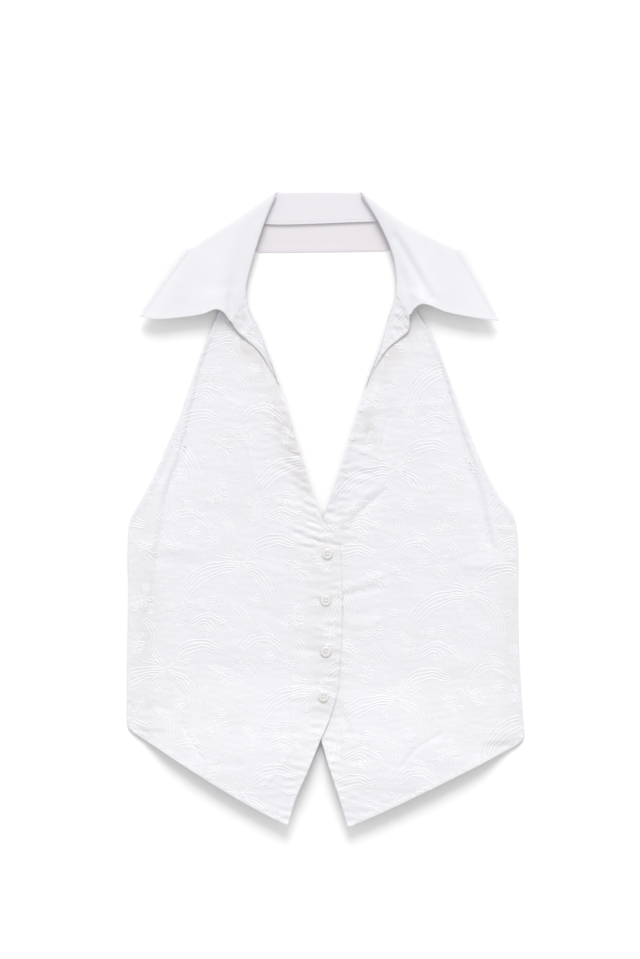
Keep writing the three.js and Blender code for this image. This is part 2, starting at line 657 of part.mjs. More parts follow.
addPiece('back_panel', wallOnGrid(backGrid(), BACK_WALL, true), embroidered);
addPiece('right_front', wallOnGrid(frontGrid(RIGHT_FRONT, false), FRONT_WALL, true), embroidered);
addPiece('left_front', wallOnGrid(frontGrid(LEFT_FRONT, true), FRONT_WALL, true), embroidered);
addPiece('left_facing', wallOnGrid(lapelGrid(LEFT_LAPEL, true), FRONT_WALL, true), embroidered);
addPiece('right_facing', wallOnGrid(lapelGrid(RIGHT_LAPEL, false), FRONT_WALL, true), embroidered);
addPiece('collar_stand', wallOnGrid(standGrid(), COLLAR_WALL, false), poplin);
addPiece('collar_fall', wallOnGrid(fallGrid(), COLLAR_WALL, false), poplin);
BUTTONS.forEach(({ x, y }, k) => {
  const button = addPiece(`button_${k + 1}`, buttonGeometry(), pearl);
  const cloth = frontHeight(x, y) + lapRise(x, y) + FRONT_WALL / 2;
  button.position.set(x, y, cloth + SEAM_GAP);
});

// The reference point is under the middle of the garment's box, on the table.
group.updateMatrixWorld(true);
const box = new THREE.Box3().setFromObject(group, true);
const middle = box.getCenter(new THREE.Vector3());
for (const mesh of group.children) {
  mesh.position.x -= middle.x;
  mesh.position.y -= middle.y;
}

export default group;
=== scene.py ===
"""Halter neck top in white embroidered cotton, laid flat with its front up.

Blender works in metres. The tables of the cut are in millimetres on the laid garment, as its
pattern is drawn: +X to the right, +Y towards the collar, +Z up from the table.
"""

import logging
import math
from dataclasses import dataclass, field
from enum import Enum
from typing import Callable, NamedTuple, Sequence, TypeVar

import bpy
import numpy as np
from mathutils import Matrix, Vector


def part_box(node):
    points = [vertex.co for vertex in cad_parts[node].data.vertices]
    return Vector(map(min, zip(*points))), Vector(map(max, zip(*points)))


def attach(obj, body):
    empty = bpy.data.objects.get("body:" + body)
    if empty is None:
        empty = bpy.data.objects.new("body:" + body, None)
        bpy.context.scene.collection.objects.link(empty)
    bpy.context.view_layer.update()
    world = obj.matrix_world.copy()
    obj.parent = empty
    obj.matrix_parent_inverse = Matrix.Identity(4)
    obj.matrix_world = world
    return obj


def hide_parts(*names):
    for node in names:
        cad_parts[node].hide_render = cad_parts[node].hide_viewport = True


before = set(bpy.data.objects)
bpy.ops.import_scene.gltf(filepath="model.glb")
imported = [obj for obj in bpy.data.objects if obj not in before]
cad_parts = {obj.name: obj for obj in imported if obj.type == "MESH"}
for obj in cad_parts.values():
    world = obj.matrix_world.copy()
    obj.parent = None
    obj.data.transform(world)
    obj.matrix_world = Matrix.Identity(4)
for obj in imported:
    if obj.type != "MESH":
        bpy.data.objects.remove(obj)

Array = np.ndarray
Line = Array
Colour = tuple[float, float, float]
Row = TypeVar("Row")
Socket = bpy.types.NodeSocket
Inputs = dict[str | int, object]
log = logging.getLogger("halter_top")

MM = 0.001
TINY = 1e-9
BODY = "root"
PHOTO_SIZE = (640, 959)
PHOTO_CENTRE = (-5.8, 31.0)  # the middle of the photograph on the laid garment
PHOTO_SCALE = 1.05  # millimetres of garment to a pixel

# Walls of the cut, which the frame's solids have
FRONT_WALL = 1.4
BACK_WALL = 1.2
COLLAR_WALL = 1.5
SEAM_GAP = 0.3
LAP_GAP = 0.45
SIDE_LEVEL = BACK_WALL + SEAM_GAP + FRONT_WALL / 2
COTTON_THICKNESS = 0.6
COLLAR_THICKNESS = 1.0

# Form of the laid fronts
LOFT = 2.0
LOFT_REACH = 62
HEM_LIFT = 9.3
HEM_LIFT_TOP = -160
HEM_LIFT_BOTTOM = -290
HEM_LIFT_REACH = 42
NECK_RISE = 2.6
NECK_RISE_BOTTOM = 175
NECK_RISE_TOP = 232
LAP_ACROSS = (-58, -26)  # x between which the left front climbs onto the right one
LAP_DOWN = (-26, 4)  # -y between which it does
FOLD_FADE = 20
SAG_LEAN = 1.5

# Relief of the fronts' cloth
BACK_CLEARANCE = 0.08
SEAM_TOP_Y = -12
SEAM_BLEND = 4
SEAM_ROLL = 1.1
SEAM_ROLL_REACH = 3.0
FINE_CREASE_FADE = 5
LAPEL_ROLL = 2.6
LAPEL_ROLL_REACH = 13.0
LAPEL_ROLL_STARTS = (-8, 40)  # y between which it grows
LAPEL_ROLL_ENDS = (100, 128)
PLACKET_SETTLE = 1.0
PLACKET_SETTLE_REACH = 9.0
PLACKET_SETTLE_STARTS = (4, 34)  # -y between which it grows
PLACKET_SETTLE_ENDS = (205, 235)
GATHER_REACH = 32
GATHER_DOWN = (-150, -60)
GATHER_LEAST = 0.25
PUCKER_REACH = 6
FOLD_STEPS = 8  # steps of a bent fold's line for each of its points

# Form of the folded collar
ROLL_RADIUS = 1.0
ROLL_MEET_FRONT = 7.1
ROLL_MEET_BACK = 2.1
STAND_FRONT_LEVEL = 5.9
STRAP_LEVEL = 5.2
LEAF_LEVEL = 8.3
LEAF_EDGE_BOW = 1.5
FALL_BACK_EDGE_Y = 271.6
STAND_BACK_EDGE_Y = 300.6
NECK_TOP_Y = 332.2
NECK_SQUARENESS = 0.25
STAND_EDGE_WAVE = (0.8, -2.2, -1.2, 0.6, 3.0)
FALL_EDGE_WAVE = (1.0, -1.8, -1.2, -0.2, 1.4)

# Sewing
STITCH_PITCH = 2.6
STITCH_LENGTH = 2.1
STITCH_WIDTH = 0.42
STITCH_LIFT = 0.1  # share of a stitch's width that it stands above the cloth
CORD_SIDES = 6
BEAD_SIDES = 6
BEAD_RINGS = 4

# Places from an edge, in millimetres, where a shell's grid is finest
EDGE_PLACES = (0.0, 0.15, 0.4, 0.8, 1.8, 3.0, 3.6, 4.2, 4.8, 5.6, 7.0)
RIM_PLACES = EDGE_PLACES[:6]

# Material slots of the record, and sockets for colours on a Mix node
COTTON_SLOT = "embroidered_cotton"
POPLIN_SLOT = "collar_poplin"
BUTTON_SLOT = "pearl_button"
MIX_FIRST, MIX_SECOND, MIX_RESULT = 6, 7, 2


class Side(Enum):
    """Which half of the garment a piece belongs to, as seen in the photograph."""

    LEFT = "left"
    RIGHT = "right"


class FrontRow(NamedTuple):
    """A row across a front, from its side edge to its neck or placket edge, read in pairs of x and y."""

    out_x: float
    out_y: float
    in_x: float
    in_y: float
    sag: float = 0.0


class Crease(NamedTuple):
    """A straight soft trough (depth under 0) or ridge in a laid cloth."""

    from_x: float
    from_y: float
    to_x: float
    to_y: float
    width: float
    depth: float


class FoldLine(NamedTuple):
    """A soft trough (depth under 0) or ridge that follows a bent line."""

    width: float
    depth: float
    points: tuple[tuple[float, float], ...]


class ShadeAndCreamPatch(NamedTuple):
    """A soft patch of darker, creamier cotton: cream where layers show through, and painted shade where
    shadow falls.
    """

    x: float
    y: float
    wide: float
    tall: float
    share: float


class LapelRow(NamedTuple):
    """A row across a turned-out facing, with its rise above the front."""

    neck_x: float
    neck_y: float
    free_x: float
    free_y: float
    neck_rise: float
    free_rise: float


class BackRow(NamedTuple):
    """A row across the back panel, from side seam to side seam."""

    left_x: float
    right_x: float
    side_y: float
    sag: float


class RollRow(NamedTuple):
    """A place on the collar's roll line, and on the lower edge of the stand below it."""

    roll_x: float
    roll_y: float
    edge_x: float
    edge_y: float


class EdgeRow(NamedTuple):
    """A place on a collar leaf's front edge, with the height of the cloth's middle."""

    x: float
    y: float
    height: float


def table(kind: Callable[..., Row], rows: Sequence[tuple]) -> tuple[Row, ...]:
    """Rows of plain numbers as named rows of one kind."""
    return tuple(kind(*row) for row in rows)


# The fronts, row by row from the strap to the hem's point
LEFT_ROWS = table(FrontRow, (
    (-101, 238, -84.5, 222.2), (-112, 207.5, -79, 205), (-123.5, 179.5, -67.5, 181),
    (-133.5, 153.5, -57, 156), (-151.5, 99.5, -40, 105), (-165.5, 66, -29, 68),
    (-177.5, 38.5, -18.5, 34), (-191.5, 10.5, -9, 4), (-204.5, -12, -2.5, -11.5),
    (-207.2, -38, 13, -36), (-207, -87, 17.5, -82), (-207.5, -127, 17, -130), (-208, -165, 15, -165),
    (-208.2, -188, 13, -190), (-208.4, -204, 4, -221), (-208.4, -215, -7, -246),
    (-208.2, -223, -18.5, -274, 0.5), (-207, -229, -31, -302, 1.5), (-203.5, -233.5, -39.5, -331, 3.5),
))
RIGHT_ROWS = table(FrontRow, (
    (88, 238, 74.5, 222.2), (96, 207.5, 68, 205), (110.5, 184, 61, 181), (122.5, 156.5, 52, 156),
    (141, 105, 35, 105), (155, 68, 23.5, 68), (169, 36, 12.5, 34), (184, 9.5, 3, 4),
    (196, -5, -3, -11.5), (200.5, -22, -14, -32), (202, -50, -17.5, -62), (202, -92, -17.5, -100),
    (203, -149, -17.5, -150), (205, -190, -15, -190), (206.4, -212, -9, -224), (207.4, -225, 0, -258),
    (208.2, -234, 8.5, -285, 0.3), (207, -242, 17, -311, 0.8), (201, -248, 23.5, -333, 1.8),
))

# Large folds, most of which the solids have too
LAID_FOLDS = table(Crease, (
    (-122, 175, -148, 66, 9, -1.0), (-150, 60, -176, -50, 10, -0.9), (-92, 104, -80, 24, 14, 1.0),
    (-186, -40, -142, -44, 7, 0.8), (121, 152, 147, 56, 9, -1.0), (152, 45, 172, -36, 10, -0.9),
    (186, -57, 150, -59, 7, 0.8), (31, -12, 55, 10, 8, -0.7), (-110, -262, -104, -200, 16, 0.9),
    (78, -282, 96, -210, 16, 0.9), (0, -246, 0, -226, 20, -3.9), (0, -206, 0, -190, 18, -1.5),
))

# Creases too small for the solids, placed where the laid cloth shows them
FINE_CREASES = table(Crease, (
    (-55, 103, -43, 97.6, 1.8, -0.35), (-53, 91.4, -38, 84.6, 1.9, -0.45),
    (-47.8, 77.6, -33, 71.3, 1.8, -0.42), (-45.6, 63.9, -26.7, 55.2, 2.0, -0.5),
    (-40.4, 48.2, -22.5, 40.4, 1.9, -0.48), (-37, 35.5, -19, 27.2, 1.8, -0.42),
    (-32, 22.6, -12.6, 13.7, 2.0, -0.5), (-27.8, 9.3, -8, 0.6, 1.8, -0.45),
    (-24, -4, -3, -12.6, 1.7, -0.65), (-50, 85, -37, 79, 1.9, 0.3), (-46, 71, -30, 63.6, 1.9, 0.32),
    (-42, 56, -24, 48.2, 1.9, 0.32), (-38, 42, -21, 34.4, 1.9, 0.3), (-33, 29, -16, 21, 1.9, 0.32),
    (-30, 16, -11, 7.4, 1.9, 0.3), (-25, 2.6, -5, -6, 1.8, 0.3), (-34, -24, -8, -33.5, 1.8, -0.8),
    (-21.5, -19.4, -3.7, -26.4, 1.7, -0.8), (-18.9, -12.4, -3.8, -18.4, 1.7, -0.75),
    (-24, -26, -4, -30.5, 1.7, 0.45), (-16, -16.5, -2, -22.5, 1.7, 0.45),
    (-30, -34, -16, -37.5, 1.7, 0.5), (-28, -38, -12, -42, 1.7, -0.6), (-36, -18, 2, -29, 2.2, 0.45),
    (14, -92.5, 54, -83, 3.2, -0.75), (18, -84, 58, -70, 4.0, 0.5), (18, -108, 44, -110, 3.0, -0.5),
    (30, -122, 60, -118, 4.0, 0.35), (16, -212, 28, -240.5, 3.2, -0.7), (10, -252, 34, -246, 3.0, 0.4),
    (8, -268, 36, -262, 3.0, -0.4), (45, 80, 41, 55, 3.5, -0.5), (38, 60, 56, 52, 3.0, 0.45),
    (31, 40, 52, 34, 3.2, -0.5), (22, 20, 44, 16, 3.2, 0.4), (-112, -266.7, -90, -268, 5.0, -0.6),
    (-48, -233, -30, -232, 5.0, -0.6), (-62, -108, -44, -116, 4.0, -0.4),
    (-30, -148, -8, -150, 3.5, -0.5), (-26, -170, -6, -172, 3.5, 0.4), (-30, -122, -8, -124, 3.5, 0.4),
    (-74, -60, -50, -66, 5.0, 0.35), (-160, -180, -148, -194, 4.0, -0.5),
    (-190, -210, -160, -208, 5.0, -0.35), (120, -170, 150, -160, 6.0, 0.4),
    (60, -190, 90, -176, 6.0, -0.4), (-96, 180, -90, 130, 7.0, 0.5), (-108, 60, -100, -10, 6.0, -0.35),
    (96, 170, 104, 110, 7.0, 0.5), (-87, 175, -87, 168, 0.9, 0.4), (-84.6, 173.5, -84.6, 166, 0.9, 0.4),
    (-82.2, 172.5, -82.2, 164, 0.9, 0.4), (-79.8, 171, -79.8, 164, 0.9, 0.4),
    (-77.2, 168.5, -77.2, 162, 0.9, 0.4), (60, 130, 66, 80, 7.0, -0.4),
))

# The folds at the top corner of the placket, which reach its edge
CORNER_CREASES = table(Crease, (
    (-9, -33.8, 17, -39, 1.8, -1.15), (-8, -30.4, 13, -34.8, 1.8, 0.45),
))

# Bent creases: armholes, placket, V corner, side and hem
FOLD_LINES = table(FoldLine, (
    (3.0, -1.25, ((-121.8, 174.3), (-130.2, 147), (-137.6, 110.3), (-151.7, 54.6), (-165.4, 20),
     (-170.6, -13.7), (-176.9, -51.5), (-183.2, -105))),
    (3.6, 0.7, ((-127.5, 172), (-136.5, 145), (-144, 108.5), (-158, 53), (-172, 18),
     (-178, -14.5), (-184, -52), (-190, -105))),
    (3.0, -1.15, ((121.3, 155.4), (129.7, 119.7), (139.1, 85.1), (152.8, 45.2), (164.3, 1.1),
     (171.7, -35.7))),
    (3.6, 0.6, ((127.5, 157.5), (136.5, 121), (146, 86.5), (160, 46.5), (171, 2), (179, -35))),
    (1.5, 0.4, ((-35.2, -40), (-35.8, -95), (-35, -150), (-35.4, -232))),
    (1.4, -0.3, ((-38.6, -60), (-39, -120), (-38.4, -226))),
    (1.6, 0.4, ((-35.2, -252), (-48, -270), (-62, -287))),
    (1.6, -0.35, ((-55.1, -170), (-55.6, -200), (-55.1, -228))),
    (2.6, -0.85, ((25.7, -22), (33, -6.3), (44.6, 4.2), (62.5, 20))),
    (3.0, 0.4, ((20, -16), (28, 1), (40, 11), (58, 27))), (2.2, -0.5, ((66, 96), (58, 60), (60, 34))),
    (3.0, 0.5, ((-84, 100), (-80, 60), (-70, 24))),
    (2.4, -0.5, ((-150, -224), (-140, -244), (-128, -262))),
    (2.4, -0.6, ((120, -236), (96, -250), (80, -268))),
))

# Folds of the turned-out facings
LAPEL_FOLDS = table(FoldLine, (
    (1.5, -0.8, ((81.1, 205), (85.6, 198.5))), (1.5, -0.8, ((77.2, 199), (80.5, 193.5), (84.3, 189))),
    (1.6, 0.5, ((75, 206), (78, 200), (80, 190))), (1.8, -0.5, ((-90, 206), (-86, 198), (-87, 190))),
    (1.8, 0.5, ((-84, 208), (-81, 198), (-80, 186))), (1.4, -0.5, ((-72, 186), (-74, 178))),
))

# Painted shade and cream on the cotton: shadow under the lapels, shade along the V edges, sides and hem,
# and cream where layers show through
PAINTED_SHADE_AND_CREAM = table(ShadeAndCreamPatch, (
    (20, -22, 15, 17, 0.4), (2, -48, 17, 18, 0.2), (0, -130, 22, 100, 0.42), (-94, 183, 9, 12, 0.75),
    (-80, 167, 12, 12, 0.9), (-66, 150, 10, 14, 0.75), (-54, 112, 10, 19, 0.6), (-43, 86, 10, 17, 0.85),
    (-36, 64, 10, 17, 0.8), (-28, 43, 9, 15, 0.75), (-20, 20, 9, 15, 0.5), (46, 88, 9, 22, 0.9),
    (60, 146, 9, 15, 0.65), (73, 164, 11, 12, 0.75), (88, 187, 12, 14, 0.7), (-104, 192, 9, 12, 0.4),
    (-188, -120, 13, 85, 0.55), (194, -120, 12, 85, 0.4), (2, -262, 34, 30, 0.3),
    (150, -208, 60, 34, 0.28), (-150, -208, 60, 34, 0.28),
))

# The turned-out facings, the back, and the collar's roll line and front edges
LEFT_LAPEL = table(LapelRow, (
    (-83.8, 221, -98.7, 195.6, 1.1, 3.7), (-79, 206, -92.5, 186, 0.5, 1.1),
    (-71, 191, -82.5, 177, 0.1, 0.1), (-63.5, 172, -70, 165.5, 0, -0.5),
    (-56.5, 154, -60.5, 151, 0, -1.0), (-49, 132, -50.6, 131.6, 0, -1.4),
))
RIGHT_LAPEL = table(LapelRow, (
    (73.9, 221, 88.2, 202.3, 1.1, 3.7), (69, 208, 87, 187.5, 0.5, 1.3),
    (63.5, 191, 78, 178.5, 0.1, 0.1), (57.5, 171, 66, 169, 0, -0.5), (50.5, 153, 55.5, 154, 0, -1.0),
    (42, 130, 44, 131, 0, -1.4),
))
BACK_ROWS = table(BackRow, (
    (-203, 196, -16, 3), (-206, 200.5, -60, 2), (-206.5, 202, -130, 1), (-207, 204, -190, 1),
    (-207, 206, -226, 2),
))
LEFT_ROLL = table(RollRow, (
    (-84, 223.6, -87.5, 226.2), (-84.2, 231, -94, 232.5), (-82, 243, -101.5, 241),
    (-74.5, 270, -103, 262), (-65, 299, -97.5, 286),
))
RIGHT_ROLL = table(RollRow, (
    (74.5, 223.6, 77.5, 227.3), (75, 231, 83.1, 234), (75, 241, 89.4, 242.4), (71, 266, 96, 262),
    (58, 297, 94, 286),
))
LEFT_LEAF_EDGE = table(EdgeRow, (
    (-84.5, 222.4, 8.0), (-92, 209, 8.3), (-99.4, 196.8, 8.6), (-106.5, 205.5, 12.5),
    (-114, 208.8, 14.4), (-128, 204, 13.5), (-146, 201, 12.5), (-178, 198.6, 13.5), (-195, 201.6, 11.5),
))
RIGHT_LEAF_EDGE = table(EdgeRow, (
    (75, 222.4, 8.0), (82, 212, 8.6), (88.6, 203.6, 9.6), (93.5, 210, 12.5), (101, 214.2, 15.5),
    (111, 212, 14.5), (124, 206.6, 13), (156, 200, 13.5), (181.5, 196.8, 11.5),
))
LEAF_CREASES = table(Crease, (
    (-110, 229, -97, 234, 6.0, -0.4), (-120, 222, -108, 226, 6.0, 0.3),
    (-94, 206, -100, 222, 4.0, -0.7), (74, 284, 110, 221, 4.2, -1.1), (81, 284, 117, 225, 4.6, 0.45),
    (80, 246, 84, 232, 4.0, -0.6), (92, 226, 100, 219, 4.0, 0.7), (-150, 238, -130, 262, 14.0, 0.5),
    (132, 232, 118, 258, 14.0, 0.5),
))
BUTTONS = ((2, -47), (0.2, -96), (0.4, -149.5), (-2, -196.5))


class Strand(NamedTuple):
    """A smooth line of cord in the repeat, as points from the repeat's knot."""

    points: tuple[tuple[float, float], ...]
    count: int = 1
    gap: float = 0.0


class Fan(NamedTuple):
    """Drooping lines that spread from a knot, with headings in degrees."""

    first: float
    last: float
    count: int
    reach: float
    droop: float


class Spray(NamedTuple):
    """A stem with pairs of small leaves."""

    x: float
    y: float
    heading: float
    length: float
    bend: float
    leaves: int


class Bloom(NamedTuple):
    """A small flower of loops round a ring."""

    x: float
    y: float
    radius: float
    petals: int


class Curl(NamedTuple):
    """A small scroll."""

    x: float
    y: float
    radius: float
    heading: float
    turns: float


# One repeat of the embroidery, charted from its knot
REPEAT_STEPS = ((78.8, -130.2), (-78.8, -110.3))
LEFT_KNOT = (-88.7, -57.8)
RIGHT_KNOT = (151.7, -88.2)
STRANDS = table(Strand, (
    (((-4, -2), (-22, -4), (-44, -13), (-60, -31), (-66, -54)), 5, 3.9),
    (((5, -4), (20, -14), (30, -32), (32, -54)), 4, 3.7),
    (((4, 5), (18, 20), (38, 26), (58, 20)), 4, 3.8),
    (((-3, 5), (-13, 20), (-12, 38), (-24, 54)), 3, 3.7),
    (((-34, 40), (-48, 52), (-65, 52), (-78, 40)), 3, 3.6),
    (((26, 50), (42, 57), (60, 50), (70, 38)), 2, 3.6),
    (((-12, -40), (2, -52), (4, -70), (-8, -84)), 3, 3.6),
    (((-52, -66), (-38, -60), (-28, -66), (-26, -80)), 2, 3.4),
    (((50, -8), (62, -14), (66, -28)), 2, 3.4),
))
FANS = table(Fan, (
    (136, 176, 4, 30, 7), (52, 22, 3, 24, 6), (-10, -34, 3, 26, 5), (212, 258, 4, 20, 2),
))
SPRAYS = table(Spray, (
    (44, 4, -42, 26, 6, 3), (-34, 12, 84, 22, -5, 3), (-22, -28, 232, 26, 6, 3),
    (16, -62, 320, 24, -6, 3), (10, 40, 64, 24, 5, 3), (-64, 10, 118, 24, 6, 3),
    (-40, 66, 30, 22, -5, 3),
))
BLOOMS = table(Bloom, (
    (14, -38, 7.5, 7), (-50, 32, 6.5, 6), (44, 40, 6.0, 6), (-42, -42, 5.6, 6), (6, 66, 5.2, 5),
    (58, -46, 5.6, 6),
))
CURLS = table(Curl, (
    (-10, -22, 4.4, 30, 1.3), (40, -20, 4.2, 200, 1.2), (-76, 22, 4.2, 120, 1.3),
    (26, 68, 4.4, 300, 1.2), (-20, -60, 4.2, 80, 1.3), (68, 6, 4.2, 10, 1.2), (-16, 66, 4.0, 220, 1.2),
    (46, -66, 4.0, 150, 1.2), (-52, -6, 3.8, 0, 1.1), (22, 8, 3.4, 60, 1.1), (-80, -20, 3.8, 250, 1.2),
))


@dataclass(frozen=True)
class Turn:
    """Where the collar turns round from the back of the neck to a leaf.

    Tops and bottoms are heights of the cloth's middle, insets lie inside the line from the roll
    to the edge, hollow is how far that line bends inwards, and bulges are how round the turn is.
    """

    roll_x: float
    roll_y: float
    outer_x: float
    outer_y: float
    roll_top: float
    outer_top: float
    roll_bottom: float
    outer_bottom: float
    roll_bulge: float
    outer_bulge: float
    roll_inset: float = 0.0
    outer_inset: float = 0.0
    hollow: float = 0.0
    top_edge_runs: tuple[float, float] | None = None
    bottom_edge_runs: tuple[float, float] | None = None

    def point(self, reach: Array, angle: float) -> Line:
        """Points of the cloth's middle across the turn.

        Args:
            reach: Shares of the way from the roll line to the edge.
            angle: 0 on top and pi underneath.

        Returns:
            One point in millimetres for each share.
        """
        line = np.array([self.outer_x - self.roll_x, self.outer_y - self.roll_y])
        along = line / np.hypot(*line)
        inward = np.array([along[1], -along[0]])
        if inward[1] > 0:
            inward = -inward
        bulge = mix(self.roll_bulge, self.outer_bulge, reach) * (1 - math.sin(angle))
        inset = mix(self.roll_inset, self.outer_inset, reach) + self.hollow * np.sin(reach * np.pi) + bulge
        runs_to = self.top_edge_runs if angle < np.pi / 2 else self.bottom_edge_runs
        slide = np.zeros_like(reach)
        if runs_to is not None:
            slide = reach * bulge * np.dot(runs_to, along) / np.dot(runs_to, inward)
        top = mix(self.roll_top, self.outer_top, np.sqrt(reach))
        bottom = mix(self.roll_bottom, self.outer_bottom, reach)
        plan = np.outer(reach, line) + np.outer(inset, inward) + np.outer(slide, along)
        height = (top + bottom) / 2 + (top - bottom) / 2 * math.cos(angle)
        return np.column_stack([self.roll_x + plan[:, 0], self.roll_y + plan[:, 1], height])


LEFT_FALL_TURN = Turn(
    -52.6, 332.2, -142, 273.4, 8, 12, COLLAR_WALL / 2, COLLAR_WALL / 2, 0.8, 1.3,
    hollow=1, top_edge_runs=(-53, -72), bottom_edge_runs=(1, 0),
)
RIGHT_FALL_TURN = Turn(
    38.2, 332.2, 137, 272.8, 8, 12, COLLAR_WALL / 2, COLLAR_WALL / 2, 0.8, 1.3,
    hollow=4.5, top_edge_runs=(44.5, -76), bottom_edge_runs=(-1, 0),
)
LEFT_STAND_TURN = Turn(
    -53.8, 331.6, -94.3, 304.8, STAND_FRONT_LEVEL, STAND_FRONT_LEVEL, 2.5, 2.4, 0.6, 1.6,
    roll_inset=2.3, outer_inset=5.4,
)
RIGHT_STAND_TURN = Turn(
    39.4, 331.6, 79, 307.7, STAND_FRONT_LEVEL, STAND_FRONT_LEVEL, 2.5, 2.4, 0.6, 1.6,
    roll_inset=2.3, outer_inset=8.4,
)


def mix(start: float | Array, stop: float | Array, share: float | Array) -> float | Array:
    """The value a share of the way from start to stop."""
    return start + (stop - start) * share


def smoothstep(value: Array, low: float, high: float) -> Array:
    """0 below low, 1 above high, and a smooth step between them."""
    t = np.clip((value - low) / (high - low), 0, 1)
    return t * t * (3 - 2 * t)


def band(value: Array, starts: tuple[float, float], ends: tuple[float, float]) -> Array:
    """1 between two soft ends, and 0 beyond them."""
    return smoothstep(value, *starts) * (1 - smoothstep(value, *ends))


def bell(distance: Array, width: float) -> Array:
    """1 at no distance, falling softly to 0 over about twice a width."""
    return np.exp(-((distance / width) ** 2))


def round_drop(distance: Array, radius: float) -> Array:
    """How far a rounded edge lies below its cloth, from 1 at the edge to 0 at its radius."""
    return 1 - np.sqrt(1 - (1 - np.clip(distance / radius, 0, 1)) ** 2)


def circle(angles: Array) -> Line:
    """Points of a circle of radius 1 at angles."""
    return np.column_stack([np.cos(angles), np.sin(angles)])


def run_lengths(path: Line) -> Array:
    """How far each point of a path lies from its start, in plan."""
    return np.concatenate([[0], np.cumsum(np.hypot(*np.diff(path, axis=0).T))])


def unit(vectors: Array) -> Array:
    """Rows of vectors brought to length 1."""
    return vectors / np.maximum(np.linalg.norm(vectors, axis=-1, keepdims=True), TINY)


def smooth_line(points: Sequence, shares: Array) -> Line:
    """A centripetal Catmull-Rom line through points.

    Args:
        points: Two or more points of two or three coordinates.
        shares: Where to read the line, as shares of its points.

    Returns:
        One point for each share.
    """
    known = np.asarray(points, float)
    place = np.clip(shares, 0, 1) * (len(known) - 1)
    index = np.minimum(place.astype(int), len(known) - 2)
    t = (place - index)[:, None]
    padded = np.vstack([2 * known[0] - known[1], known, 2 * known[-1] - known[-2]])
    p0, p1, p2, p3 = (padded[index + k] for k in range(4))
    d0, d1, d2 = (np.sum((b - a) ** 2, 1)[:, None] ** 0.25 for a, b in ((p0, p1), (p1, p2), (p2, p3)))
    m1 = ((p1 - p0) / d0 - (p2 - p0) / (d0 + d1) + (p2 - p1) / d1) * d1
    m2 = ((p2 - p1) / d1 - (p3 - p1) / (d1 + d2) + (p3 - p2) / d2) * d1
    return p1 + m1 * t + (3 * (p2 - p1) - 2 * m1 - m2) * t**2 + (2 * (p1 - p2) + m1 + m2) * t**3


def table_value(values: Sequence[float], shares: Array) -> Array:
    """A column of a table, read straight between its rows at shares of them."""
    return np.interp(shares * (len(values) - 1), np.arange(len(values)), values)


def even_shares(points: Sequence, steps: int) -> Array:
    """Shares of a table's rows, spread so that the steps between them are even in length."""
    reach = run_lengths(np.asarray(points, float))
    return np.interp(np.linspace(0, reach[-1], steps + 1), reach, np.linspace(0, 1, len(reach)))


def lengths_along(grid: Array, axis: int) -> Array:
    """How far each point of a grid lies from its first row or column, measured on the cloth."""
    steps = np.linalg.norm(np.diff(grid, axis=axis), axis=2)
    pad = [(0, 0), (0, 0)]
    pad[axis] = (1, 0)
    return np.pad(np.cumsum(steps, axis=axis), pad)


def distance_to(x: Array, y: Array, line: Line, chunk: int = 4096) -> Array:
    """The shortest distance in plan from each point to a line of straight steps.

    Args:
        x: The points' places across.
        y: The points' places along.
        line: The line, of which the first two columns count.
        chunk: How many points are worked on at once.

    Returns:
        One distance for each point, in the form of x.
    """
    start, step = line[:-1, :2], np.diff(line[:, :2], axis=0)
    square = np.maximum(np.sum(step**2, 1), TINY)
    flat = np.column_stack([x.ravel(), y.ravel()])
    nearest = np.empty(len(flat))
    for first in range(0, len(flat), chunk):
        off = flat[first : first + chunk, None, :] - start
        t = np.clip(np.sum(off * step, 2) / square, 0, 1)
        gap = off - t[..., None] * step
        nearest[first : first + chunk] = np.sqrt(np.sum(gap**2, 2)).min(1)
    return nearest.reshape(x.shape)


def inside(x: Array, y: Array, outline: Line) -> Array:
    """True for each point that lies inside a closed outline in plan."""
    x0, y0 = outline.T
    x1, y1 = np.roll(x0, -1), np.roll(y0, -1)
    spans = (y0[None] > y[:, None]) != (y1[None] > y[:, None])
    rise = np.where(y1 == y0, TINY, y1 - y0)
    crossing = x0 + (y[:, None] - y0) * (x1 - x0) / rise
    return np.sum(spans & (x[:, None] < crossing), 1) % 2 == 1


def fold_height(folds: Sequence[FoldLine], x: Array, y: Array) -> Array:
    """The height that bent troughs and ridges add at points in plan."""
    height = np.zeros(np.shape(x))
    for fold in folds:
        line = smooth_line(fold.points, np.linspace(0, 1, FOLD_STEPS * len(fold.points)))
        height += fold.depth * bell(distance_to(x, y, line), fold.width)
    return height


def painted_shade_and_cream_at(x: Array, y: Array) -> Array:
    """How much painted shade and cream tone the cotton takes at points in plan, from 0 to 1."""
    total = np.zeros(np.shape(x))
    for patch in PAINTED_SHADE_AND_CREAM:
        off = ((x - patch.x) / patch.wide) ** 2 + ((y - patch.y) / patch.tall) ** 2
        total += patch.share * np.exp(-off)
    return np.clip(total, 0, 1)


def crease_height(creases: Sequence[Crease], x: Array, y: Array) -> Array:
    """The height that soft straight troughs and ridges add at points in plan."""
    height = np.zeros(np.shape(x))
    for c in creases:
        dx, dy = c.to_x - c.from_x, c.to_y - c.from_y
        near = np.clip(((x - c.from_x) * dx + (y - c.from_y) * dy) / (dx * dx + dy * dy), 0, 1)
        height += c.depth * bell(np.hypot(x - c.from_x - near * dx, y - c.from_y - near * dy), c.width)
    return height


